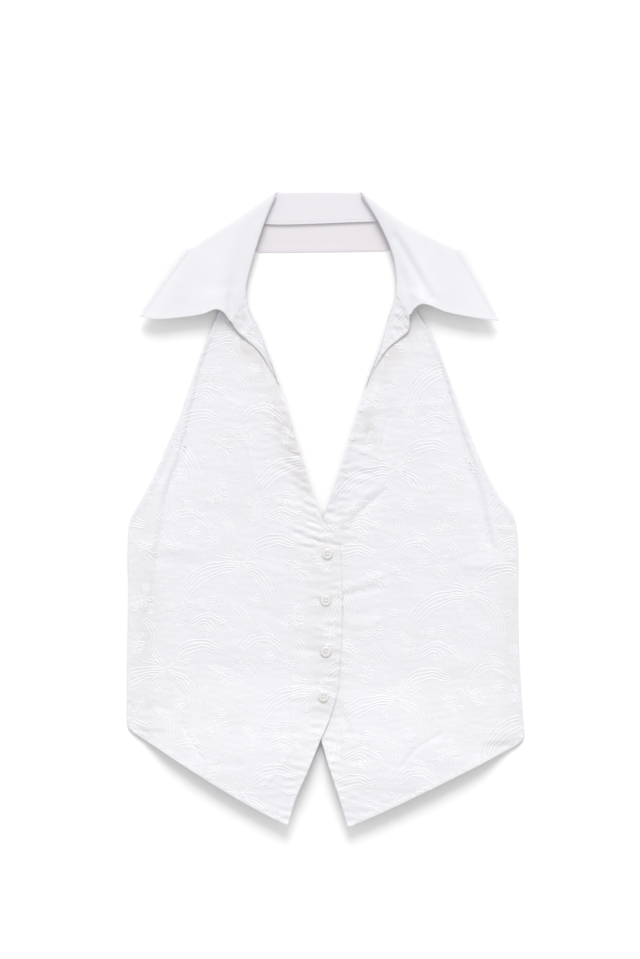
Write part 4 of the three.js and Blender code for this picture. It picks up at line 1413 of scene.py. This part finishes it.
def across_line(point_at: Callable[[Array], Line], meet: float, shares: Array, roll_steps: int = 5) -> Line:
    """A line of collar cloth across, from the roll to the edge.

    Args:
        point_at: Gives points of the line at shares of the way to the edge.
        meet: Height at the roll, where stand and fall are sewn together.
        shares: Places wanted beyond the roll's radius, from 0 to 1.
        roll_steps: Steps round the roll.

    Returns:
        The line's points, which start upright at the roll.
    """
    ends = point_at(np.array([0.0, 1.0]))
    length = float(np.linalg.norm(ends[1] - ends[0]))
    angles = np.arange(roll_steps) / roll_steps * np.pi / 2
    start = ROLL_RADIUS / length
    points = point_at(np.concatenate([start * (1 - np.cos(angles)), mix(start, 1, shares)]))
    points[:roll_steps, 2] = mix(meet, points[:roll_steps, 2], np.sin(angles))
    return points


def follow(surface: Array, reach: Array, distance: float) -> Line:
    """The line on a grid of points where the length along its rows has a value."""
    return np.array([
        [np.interp(distance, lengths, axis) for axis in row.T] for lengths, row in zip(reach, surface)
    ])


def stitched(name: str, paths: Sequence[Line], finishes: Finishes, slot: str) -> bpy.types.Object:
    """Topstitching along paths in millimetres, as one piece."""
    lift = np.array([0, 0, STITCH_LIFT * STITCH_WIDTH])
    wires = path_object(name, [path + lift for path in paths if len(path) > 2])
    return settle(stitch_tree(name, finishes.stitch).apply(wires), slot)


@dataclass
class CollarPart:
    """What fall and stand share: lines across them, gathered into one grid round the neck."""

    finishes: Finishes
    leaf_steps: int = 64
    turn_steps: int = 14
    neck_steps: int = 56
    across_steps: int = 44
    depth: float = 95
    near_roll: tuple[float, ...] = (0, 0.012, 0.03)
    least_share: float = 0.04
    stitches: list[bpy.types.Object] = field(default_factory=list)

    def places(self, edge_places: Sequence[float]) -> Array:
        """Shares across the cloth, finest next to the roll and near the free edge."""
        shares = edge_clustered(self.across_steps, self.depth, edge_places)[len(edge_places) - 1 :]
        return np.concatenate([self.near_roll, shares[shares > self.least_share]])

    def grid(self, leaves: tuple[list[Line], list[Line]], turns: tuple[Turn, Turn], edge_y: float,
             wave: Sequence[float], shares: Array) -> Array:
        """The whole part as one grid, from the left leaf's front edge to the right one's.

        Args:
            leaves: The lines of the left and the right leaf, each from its front edge to its turn.
            turns: The left and the right turn.
            edge_y: Where the free edge lies at the back of the neck.
            wave: How far that edge strays from there, at even places from left to right.
            shares: Places wanted across the cloth.

        Returns:
            Points of the cloth's middle, a row for each line.
        """
        left, right = (self.turn_lines(turn, shares) for turn in turns)
        neck = self.neck_lines(*turns, edge_y, wave, shares)
        return np.array([*leaves[0], *left, *neck, *right[::-1], *leaves[1][::-1]])

    def turn_lines(self, turn: Turn, shares: Array) -> list[Line]:
        """The lines round one turn, from the leaf's side to the back of the neck."""
        lines = []
        for k in range(1, self.turn_steps):
            angle = k / self.turn_steps * np.pi
            meet = mix(ROLL_MEET_FRONT, ROLL_MEET_BACK, (1 - math.cos(angle)) / 2)
            lines.append(across_line(lambda v, a=angle: turn.point(v, a), meet, shares))
        return lines

    def neck_lines(self, left: Turn, right: Turn, edge_y: float, wave: Sequence[float],
                   shares: Array) -> list[Line]:
        """The lines across the back of the neck, from the left turn to the right one.

        The arguments are those of grid.
        """
        lines = []
        strays = np.column_stack([np.arange(len(wave)), wave])
        for share in np.linspace(0, 1, self.neck_steps + 1):
            inner = max(math.sin(share * np.pi), 0.0) ** NECK_SQUARENESS
            edge = edge_y + smooth_line(strays, np.array([share]))[0, 1]

            def point_at(v: Array, share: float = share, inner: float = inner, edge: float = edge) -> Line:
                """Points between the two turns, drawn to the straight back neck."""
                points = mix(left.point(v, np.pi), right.point(v, np.pi), share)
                points[:, 1] = mix(points[:, 1], mix(NECK_TOP_Y, edge, v), inner)
                return points

            lines.append(across_line(point_at, ROLL_MEET_BACK, shares))
        return lines


@dataclass
class CollarFall(CollarPart):
    """The pointed leaves and the back of the fall, folded over the stand."""

    hem: Hem = COLLAR_HEM
    leaf_width: float = 110
    back_inset: float = 2.2
    wave_share: float = 0.5
    roll_fade: tuple[float, float] = (2, 12)
    resting: tuple[float, float] = (1.0, 3.0)

    def leaf_lines(self, edge: Sequence[EdgeRow], roll: Sequence[RollRow], turn: Turn,
                   shares: Array) -> list[Line]:
        """The lines of one leaf.

        Args:
            edge: The leaf's front edge, from the roll to its tip.
            roll: The roll line.
            turn: The turn beyond the leaf.
            shares: Places wanted across the cloth.

        Returns:
            One line for each step, from the front edge to the turn.
        """
        both = np.array([0.0, 1.0])
        start, tip = smooth_line(edge, both)
        stop, corner = turn.point(both, 0.0)
        roll_line = [tuple(start), *[(row.roll_x, row.roll_y, LEAF_LEVEL) for row in roll[1:]], tuple(stop)]
        bow = unit(np.array([corner[1] - tip[1], tip[0] - corner[0], 0.0]))
        if bow[1] > 0:
            bow = -bow
        lines = []
        for u in edge_clustered(self.leaf_steps, self.leaf_width, EDGE_PLACES)[: -len(EDGE_PLACES) + 1]:
            inner = smooth_line(roll_line, np.array([u]))[0]
            outer = mix(tip, corner, u) - bow * LEAF_EDGE_BOW * math.sin(u * np.pi)

            def point_at(v: Array, u: float = u, inner: Array = inner, outer: Array = outer) -> Line:
                """Points of the patch between the leaf's four edges."""
                w = v[:, None]
                patch = mix(smooth_line(edge, v), turn.point(v, 0.0), u) + mix(inner, outer, w)
                return patch - mix(mix(start, tip, w), mix(stop, corner, w), u)

            lines.append(across_line(point_at, ROLL_MEET_FRONT, shares))
        return [*lines, across_line(lambda v: turn.point(v, 0.0), ROLL_MEET_FRONT, shares)]

    def build(self) -> bpy.types.Object:
        """Makes the fall's shell, whose outer face is that of its solid."""
        shares = self.places(EDGE_PLACES)
        left = self.leaf_lines(LEFT_LEAF_EDGE, LEFT_ROLL, LEFT_FALL_TURN, shares)
        right = self.leaf_lines(RIGHT_LEAF_EDGE, RIGHT_ROLL, RIGHT_FALL_TURN, shares)
        turns = (LEFT_FALL_TURN, RIGHT_FALL_TURN)
        grid = self.grid((left, right), turns, FALL_BACK_EDGE_Y, FALL_EDGE_WAVE, shares)
        normal = grid_normals(grid)
        x, y, z = np.moveaxis(grid, 2, 0)
        across, along = lengths_along(grid, 1), lengths_along(grid, 0)
        to_free = across[:, -1:] - across
        relief = self.hem.relief(to_free) + self.hem.relief(np.minimum(along, along[-1:] - along))
        on_leaf = np.zeros((len(grid), 1))
        on_leaf[: len(left)] = on_leaf[-len(right) :] = 1
        roll_fade = smoothstep(across, *self.roll_fade)
        relief += crease_height(LEAF_CREASES, x, y) * on_leaf * roll_fade
        relief += self.wave_share * SETTLING.at(x, y) * roll_fade
        resting = 1 - smoothstep(z, *self.resting)
        outer = grid + normal * (COLLAR_WALL / 2 + relief * (1 - resting))[..., None]
        inner = outer - normal * COLLAR_THICKNESS
        piece = grid_shell("collar_fall_cloth", outer, inner, np.dstack([across, along]), inner_tint=1.0)
        settle(piece, POPLIN_SLOT, "collar_fall", finish=self.finishes.poplin)
        self.sew(outer, inner, to_free, along, len(left), len(right))
        return piece

    def sew(self, outer: Array, inner: Array, to_free: Array, along: Array, left: int, right: int) -> None:
        """Lines of topstitching inside the leaves' edges and along the back of the neck.

        Args:
            outer: Grid of the fall's outer face.
            inner: Grid of its inner face.
            to_free: How far each point lies from the free edge.
            along: How far each point lies from the left front edge.
            left: Number of lines in the left leaf.
            right: Number of lines in the right leaf.
        """
        inset = self.hem.width - self.hem.stitch_inset
        free = follow(outer[:, ::-1], to_free[:, ::-1], inset)
        neck = slice(left + self.turn_steps, len(outer) - right - self.turn_steps)
        back = follow(inner[neck, ::-1], to_free[neck, ::-1], self.back_inset)
        columns = to_free[0] > inset
        ends = [
            follow(surface.transpose(1, 0, 2)[columns], reach.T[columns], inset)
            for surface, reach in ((outer, along), (outer[::-1], along[-1:] - along[::-1]))
        ]
        fronts = np.searchsorted(along[:, -1], inset)
        paths = [free[fronts:left], free[len(outer) - right : len(outer) - fronts], back, *ends]
        self.stitches.append(stitched("collar_fall_stitches", paths, self.finishes, POPLIN_SLOT))


@dataclass
class CollarStand(CollarPart):
    """The band inside the fall, with its ends sewn to the straps of the fronts."""

    across_steps: int = 16
    depth: float = 30
    near_roll: tuple[float, ...] = (0,)
    least_share: float = 0.02
    stitch_inset: float = 3.2
    # Painted shade: the share of the poplin's tint on the stand's visible face, darker as though in shadow.
    shade: float = 0.55

    def side_lines(self, roll: Sequence[RollRow], turn: Turn, shares: Array) -> list[Line]:
        """The lines of the stand below one leaf, from its tapered end to its turn."""
        stop, corner = turn.point(np.array([0.0, 1.0]), 0.0)
        roll_line = [(r.roll_x, r.roll_y, STAND_FRONT_LEVEL) for r in roll] + [tuple(stop)]
        edge_line = [(r.edge_x, r.edge_y, STRAP_LEVEL) for r in roll] + [tuple(corner)]
        places = np.linspace(0, 1, self.leaf_steps + 1)
        return [
            across_line(lambda v, a=start, b=end: mix(a, b, v[:, None]), ROLL_MEET_FRONT, shares)
            for start, end in zip(smooth_line(roll_line, places), smooth_line(edge_line, places))
        ]

    def build(self) -> bpy.types.Object:
        """Makes the stand's shell, whose inner face shows at the back of the neck."""
        shares = self.places(RIM_PLACES)
        left = self.side_lines(LEFT_ROLL, LEFT_STAND_TURN, shares)
        right = self.side_lines(RIGHT_ROLL, RIGHT_STAND_TURN, shares)
        turns = (LEFT_STAND_TURN, RIGHT_STAND_TURN)
        grid = self.grid((left, right), turns, STAND_BACK_EDGE_Y, STAND_EDGE_WAVE, shares)
        normal = grid_normals(grid)
        across = lengths_along(grid, 1)
        visible = grid - normal * (COLLAR_WALL / 2)
        hidden = visible + normal * COLLAR_THICKNESS
        weave = np.dstack([across, lengths_along(grid, 0)])
        piece = grid_shell("collar_stand_cloth", visible, hidden, weave, outer_tint=self.shade)
        neck = slice(self.leaf_steps, len(grid) - self.leaf_steps)
        line = follow(visible[neck, ::-1], (across[:, -1:] - across)[neck, ::-1], self.stitch_inset)
        self.stitches.append(stitched("collar_stand_stitches", [line], self.finishes, POPLIN_SLOT))
        return settle(piece, POPLIN_SLOT, "collar_stand", finish=self.finishes.poplin)


def resample(path: Line, step: float) -> Line:
    """A path as even straight steps of about a length."""
    reach = run_lengths(path)
    places = np.linspace(0, reach[-1], max(2, int(round(reach[-1] / step)) + 1))
    return np.column_stack([np.interp(places, reach, column) for column in path.T])


def beside(path: Line, offset: float | Array) -> Line:
    """A path in plan moved sideways to its left by an offset."""
    along = unit(np.gradient(path, axis=0))
    return path + np.column_stack([-along[:, 1], along[:, 0]]) * np.reshape(offset, (-1, 1))


def runs(path: Line, keep: Array, least: int = 3) -> list[Line]:
    """The unbroken stretches of a path whose points are kept."""
    edges = np.flatnonzero(np.diff(np.concatenate([[0], keep.astype(int), [0]])))
    return [path[a:b] for a, b in zip(edges[::2], edges[1::2]) if b - a >= least]


def turned(points: Array, heading: float) -> Array:
    """Plan points turned about the origin by a heading in degrees."""
    c, s = math.cos(math.radians(heading)), math.sin(math.radians(heading))
    return points @ np.array([[c, s], [-s, c]])


def draped(paths: Sequence[Line], height_at: Callable[[Array, Array], Array],
           sink: float = 0.0) -> list[Line]:
    """Paths in plan laid on a surface.

    Args:
        paths: The paths.
        height_at: Gives the surface's height at places across and along.
        sink: How deep the paths lie in it.

    Returns:
        The same paths with their heights.
    """
    points = np.concatenate(paths)
    solid = np.column_stack([points, height_at(points[:, 0], points[:, 1]) - sink])
    return np.split(solid, np.cumsum([len(path) for path in paths])[:-1])


@dataclass(frozen=True)
class Motif:
    """The cords of one repeat of the embroidery, as paths in plan round its knot."""

    step: float = 2.2
    spread: float = 0.55
    knot_radius: float = 2.0
    leaf_length: float = 8.0
    leaf_width: float = 2.4
    leaf_lean: float = 52.0
    left_leaves: tuple[float, float] = (0.25, 0.9)
    right_leaves: tuple[float, float] = (0.33, 0.95)
    fan_start: float = 0.06
    fan_least: float = 0.78
    fan_uneven: float = 0.08
    droop_power: float = 2.2
    bloom_core: float = 0.2
    curl_closes: float = 0.72
    wander: float = 0.5
    wander_length: float = 19.0

    def paths(self) -> list[Line]:
        """All the cords of one repeat, with the small wander of stitched lines."""
        pace = 2 * np.pi / self.wander_length
        found = []
        for line in self.drawn():
            x, y = line.T
            over, along = np.sin(pace * y + 0.6 * pace * x), np.sin(pace * x - 0.7 * pace * y)
            found.append(line + self.wander * np.column_stack([over, along]))
        return found

    def drawn(self) -> list[Line]:
        """The cords of one repeat as charted."""
        found = [self.knot_radius * circle(np.linspace(0, 2 * np.pi, 9))]
        charts = ((self.strand, STRANDS), (self.fan, FANS), (self.spray, SPRAYS), (self.bloom, BLOOMS),
                  (self.curl, CURLS))
        for draw, chart in charts:
            for motif in chart:
                found += draw(motif)
        return found

    def strand(self, strand: Strand) -> list[Line]:
        """Parallel cords that draw together at both ends."""
        line = resample(smooth_line(strand.points, np.linspace(0, 1, 60)), self.step)
        open_by = self.spread + (1 - self.spread) * np.sin(np.pi * np.linspace(0, 1, len(line)))
        places = np.arange(strand.count) - (strand.count - 1) / 2
        return [beside(line, place * strand.gap * open_by) for place in places]

    def fan(self, fan: Fan) -> list[Line]:
        """Lines that rise from the knot and droop at their ends, uneven in length."""
        lines = []
        for k in range(fan.count):
            share = k / max(fan.count - 1, 1)
            angle = math.radians(mix(fan.first, fan.last, share))
            swell = (1 - self.fan_least) * math.sin(np.pi * share)
            reach = fan.reach * (self.fan_least + swell + self.fan_uneven * math.cos(5 * k))
            t = np.linspace(self.fan_start, 1, max(4, int(reach / self.step)))
            x, y = reach * t * math.cos(angle), reach * t * math.sin(angle)
            lines.append(np.column_stack([x, y - fan.droop * t**self.droop_power]))
        return lines

    def spray(self, spray: Spray) -> list[Line]:
        """A bent stem with leaves to both sides and one at its end."""
        t = np.linspace(0, 1, max(4, int(spray.length / self.step)))
        stem = np.column_stack([spray.length * t, spray.bend * np.sin(np.pi * t / 2) * t])
        ends = [(1.0, 0.0)]
        for k in range(spray.leaves):
            share = k / spray.leaves
            ends.append((mix(*self.left_leaves, share), self.leaf_lean))
            ends.append((mix(*self.right_leaves, share), -self.leaf_lean))
        lines = [stem]
        for place, lean in ends:
            index = min(int(place * (len(stem) - 1)), len(stem) - 2)
            along = stem[index + 1] - stem[index]
            heading = math.degrees(math.atan2(along[1], along[0])) + lean
            lines.append(turned(self.leaf(), heading) + stem[index])
        return [turned(line, spray.heading) + np.array([spray.x, spray.y]) for line in lines]

    def leaf(self) -> Line:
        """A small leaf as one closed loop of cord."""
        t = np.linspace(0, 2 * np.pi, 9)
        length, width = (1 - np.cos(t)) / 2, np.sin(t) * np.sin(t / 2)
        return np.column_stack([self.leaf_length * length, self.leaf_width * width])

    def bloom(self, bloom: Bloom) -> list[Line]:
        """A flower as a ring with looped petals."""
        centre, core = np.array([bloom.x, bloom.y]), self.bloom_core * bloom.radius
        lines = [centre + core * circle(np.linspace(0, 2 * np.pi, 8))]
        t = np.linspace(0, 1, 9)
        for k in range(bloom.petals):
            reach = core + (bloom.radius - core) * np.sin(np.pi * t) ** 0.8
            angle = 2 * np.pi * k / bloom.petals + 0.8 * np.pi / bloom.petals * np.cos(np.pi * t)
            lines.append(centre + reach[:, None] * circle(angle))
        return lines

    def curl(self, curl: Curl) -> list[Line]:
        """A scroll that winds inwards from a short tail."""
        t = np.linspace(0, 1, 14)
        scroll = (curl.radius * (1 - self.curl_closes * t))[:, None] * circle(t * curl.turns * 2 * np.pi)
        tail = np.array([[curl.radius + 0.8, -curl.radius * 1.1], [curl.radius + 0.3, -curl.radius * 0.5]])
        return [turned(np.vstack([tail, scroll]), curl.heading) + np.array([curl.x, curl.y])]


@dataclass
class Embroidery:
    """Raised cords on one piece of cotton, from a repeat that covers the cloth.

    The outline and height_at are the piece's own, and cords are left out where another
    piece's outline covers them.
    """

    name: str
    outline: Line
    height_at: Callable[[Array, Array], Array]
    knot: tuple[float, float]
    finishes: Finishes
    covered: tuple[Line, ...] = ()
    width: float = 1.5
    height: float = 0.66
    sink: float = 0.08
    margin: float = 1.3
    repeats: int = 5
    repeat_reach: float = 130

    def build(self) -> bpy.types.Object:
        """Lays the cords and makes them solid."""
        repeat = Motif().paths()
        low, high = self.outline.min(0) - self.repeat_reach, self.outline.max(0) + self.repeat_reach
        cords = []
        span = range(-self.repeats, self.repeats + 1)
        for i, j in ((i, j) for i in span for j in span):
            shift = np.array(self.knot) + i * np.array(REPEAT_STEPS[0]) + j * np.array(REPEAT_STEPS[1])
            if np.all(shift >= low) and np.all(shift <= high):
                cords += [path + shift for path in repeat]
        x, y = np.concatenate(cords).T
        keep = inside(x, y, self.outline) & (distance_to(x, y, closed(self.outline)) > self.margin)
        for cover in self.covered:
            keep &= ~inside(x, y, cover)
        kept = np.split(keep, np.cumsum([len(cord) for cord in cords])[:-1])
        paths = [run for cord, points in zip(cords, kept) for run in runs(cord, points)]
        piece = path_object(f"{self.name}_embroidery", draped(paths, self.height_at, self.sink))
        cord_tree(piece.name, self.width, self.height, self.finishes.cord).apply(piece)
        return settle(piece, COTTON_SLOT)


def closed(outline: Line) -> Line:
    """An outline with its first point again at its end."""
    return np.vstack([outline, outline[:1]])


@dataclass
class HemStitches:
    """Topstitching round one front, inside its turned hems."""

    form: LaidFront
    finishes: Finishes
    slack: float = 0.1
    least_points: int = 6

    def build(self) -> bpy.types.Object:
        """Sets the stitches along lines that follow the edges."""
        inset = self.form.hem.width - self.form.hem.stitch_inset
        outline = self.form.outline
        paths = []
        for edge in (self.form.side_edge, self.form.neck_edge, self.form.hem_edge):
            for offset in (inset, -inset):
                line = resample(beside(edge, offset), STITCH_PITCH / 2)
                x, y = line.T
                far = distance_to(x, y, closed(outline)) > inset - self.slack
                paths += runs(line, inside(x, y, outline) & far, self.least_points)
        laid = draped(paths, self.form.surface)
        return stitched(f"{self.form.name}_stitches", laid, self.finishes, COTTON_SLOT)


@dataclass
class Button:
    """A four-hole shirt button with a rim, sewn on with crossed thread.

    The rings are its section, as shares of its radius and of its solid's thickness. Reaches and
    radii are shares of its radius, and the hole's depth is a share of that thickness.
    """

    node: str
    finishes: Finishes
    spokes: int = 56
    rings: tuple[tuple[float, float], ...] = (
        (0.0, 0.60), (0.09, 0.60), (0.18, 0.59), (0.24, 0.58), (0.30, 0.57), (0.36, 0.565), (0.42, 0.565),
        (0.5, 0.57), (0.58, 0.59), (0.66, 0.605), (0.74, 0.61), (0.82, 0.60), (0.9, 0.55), (0.96, 0.46),
        (1.0, 0.35), (1.0, 0.24), (0.93, 0.14), (0.8, 0.06), (0.6, 0.02), (0.3, 0.0), (0.0, 0.0),
    )
    top_rings: int = 12
    hole_reach: float = 0.27
    hole_radius: float = 0.13
    hole_depth: float = 0.3
    hole_edge: tuple[float, float] = (0.6, 1.15)
    sink: float = 0.3
    thread: float = 0.55
    thread_past: float = 1.05
    thread_level: float = 0.42
    thread_rise: float = 0.22
    strand_offset: float = 0.042

    @property
    def holes(self) -> Line:
        """The directions of the four holes from the button's middle."""
        return circle((np.arange(4) + 0.5) * np.pi / 2)

    def build(self) -> bpy.types.Object:
        """Makes the button and its thread."""
        low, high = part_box(self.node)
        centre = np.array([(low.x + high.x) / 2, (low.y + high.y) / 2, low.z - self.sink * MM])
        radius, thickness = (high.x - low.x) / 2, high.z - low.z
        turn = np.arange(self.spokes) / self.spokes * 2 * np.pi
        ring = np.array(self.rings)
        x = ring[:, :1] * np.cos(turn) * radius
        y = ring[:, :1] * np.sin(turn) * radius
        z = np.repeat(ring[:, 1:], self.spokes, 1) * thickness
        inner, outer = (share * self.hole_radius * radius for share in self.hole_edge)
        for hole in self.holes:
            off = np.hypot(x - self.hole_reach * radius * hole[0], y - self.hole_reach * radius * hole[1])
            sink = self.hole_depth * thickness * (1 - smoothstep(off, inner, outer))
            z[: self.top_rings] -= sink[: self.top_rings]
        points = np.dstack([x, y, z]).reshape(-1, 3) + centre
        index = np.arange(len(points)).reshape(len(ring), self.spokes)
        quads = quads_of(np.column_stack([index, index[:, :1]]))
        name = f"{self.node}_pearl"
        piece = new_object(name, closed_mesh(name, points, quads, smooth=len(quads)))
        settle(piece, BUTTON_SLOT, self.node, finish=self.finishes.pearl)
        self.sew(centre, radius, thickness)
        return piece

    def sew(self, centre: Array, radius: float, thickness: float) -> None:
        """Crosses two stitches of thread over the button's holes, each of two strands.

        Args:
            centre: The middle of the button's underside, in metres.
            radius: The button's radius in metres.
            thickness: The thickness of its solid in metres.
        """
        t = np.linspace(-1, 1, 9)
        reach = self.hole_reach * radius * self.thread_past
        height = thickness * (self.thread_level + self.thread_rise * np.cos(t * np.pi / 2) ** 0.5)
        paths = []
        for along in self.holes[:2]:
            for side in (-self.strand_offset, self.strand_offset):
                plan = np.outer(t * reach, along) + side * radius * np.array([-along[1], along[0]])
                paths.append((np.column_stack([plan, height]) + centre - to_metres(np.zeros(3))) / MM)
        wires = path_object(f"{self.node}_thread", paths)
        cord_tree(wires.name, self.thread, self.thread, self.finishes.stitch).apply(wires)
        settle(wires, BUTTON_SLOT)


@dataclass(frozen=True)
class Cut:
    """The flat size of a sheet of cloth in metres, its area, and how the cloth is held."""

    flat: tuple[float, float]
    area: float
    held: str


@dataclass
class Body:
    """The back and the two fronts with their facings, embroidery and stitches."""

    left: LaidFront
    right: LaidFront
    finishes: Finishes

    def build(self) -> None:
        """Builds each piece from the table upwards."""
        back = BackPanel(self.finishes).build()
        left = Facing(self.left, LEFT_LAPEL, self.finishes)
        right = Facing(self.right, RIGHT_LAPEL, self.finishes)
        flaps = {facing.name: facing.build() for facing in (left, right)}
        for facing, knot, cover in (
            (right, RIGHT_KNOT, (self.left.outline, right.outline)), (left, LEFT_KNOT, (left.outline,)),
        ):
            form = facing.form
            cloth = FrontPanel(form, self.finishes).build()
            cords = Embroidery(form.name, form.outline, form.surface, knot, self.finishes, cover).build()
            stitches = HemStitches(form, self.finishes).build()
            cords = Embroidery(facing.name, facing.outline, facing.height_at, knot, self.finishes).build()


@dataclass
class Collar:
    """The stand and the fall of the collar, with their stitches."""

    finishes: Finishes

    def build(self) -> None:
        """Builds both pieces."""
        inner, outer = CollarStand(self.finishes), CollarFall(self.finishes)
        stand, fall = inner.build(), outer.build()


@dataclass
class Studio:
    """The pale table, the soft light and the camera straight above."""

    reach: float = 6.0
    lens: float = 100.0
    sensor: float = 36.0
    sun_elevation: float = 35.0
    sun_softness: float = 29.0
    sun_strength: float = 2.08
    lamp_place: tuple[float, float, float] = (0, 2, 2)
    ambient: float = 0.78
    far: float = 50

    def build(self) -> None:
        """Makes the table, the lights and the camera."""
        self.table()
        self.light()
        self.camera()

    def table(self) -> None:
        """A wide floor just under the garment."""
        mesh = bpy.data.meshes.new("studio_table")
        corners = [(x * self.reach, y * self.reach, 0) for x, y in ((-1, -1), (1, -1), (1, 1), (-1, 1))]
        mesh.from_pydata(corners, [], [(0, 1, 2, 3)])
        mesh.materials.append(TableFinish().material())
        new_object("studio_table", mesh)

    def light(self) -> None:
        """A wide soft light from beyond the collar, and even light from all round."""
        lamp = bpy.data.lights.new("window_light", "SUN")
        lamp.angle = math.radians(self.sun_softness)
        lamp.energy = self.sun_strength
        holder = new_object("window_light", lamp)
        holder.location = self.lamp_place
        holder.rotation_euler = (math.radians(self.sun_elevation - 90), 0, 0)
        world = bpy.data.worlds.new("studio_air")
        world.use_nodes = True
        air = world.node_tree
        fill(air, air.nodes["Background"], {"Color": (1, 1, 1, 1), "Strength": self.ambient})
        bpy.context.scene.world = world
        bpy.context.scene.view_settings.view_transform = "Standard"

    def camera(self) -> None:
        """A long lens straight above, framed as the photograph."""
        data = bpy.data.cameras.new("camera_above")
        data.lens = self.lens
        data.sensor_width = self.sensor
        data.clip_end = self.far
        eye = new_object("camera_above", data)
        x, y, _ = to_metres(np.array([*PHOTO_CENTRE, 0.0]))
        eye.location = (x, y, PHOTO_SIZE[1] * PHOTO_SCALE * MM * self.lens / self.sensor)
        bpy.context.scene.camera = eye


def main() -> None:
    """Builds every piece of the garment, its sewing, its embroidery and the studio."""
    logging.basicConfig(level=logging.INFO, format="%(message)s")
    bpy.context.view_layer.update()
    finishes = Finishes.make()
    left = LaidFront(Side.LEFT, LEFT_ROWS)
    right = LaidFront(Side.RIGHT, RIGHT_ROWS)
    Body(left, right, finishes).build()
    Collar(finishes).build()
    for number in range(1, len(BUTTONS) + 1):
        Button(f"button_{number}", finishes).build()
    Studio().build()


if __name__ == "__main__":
    main()
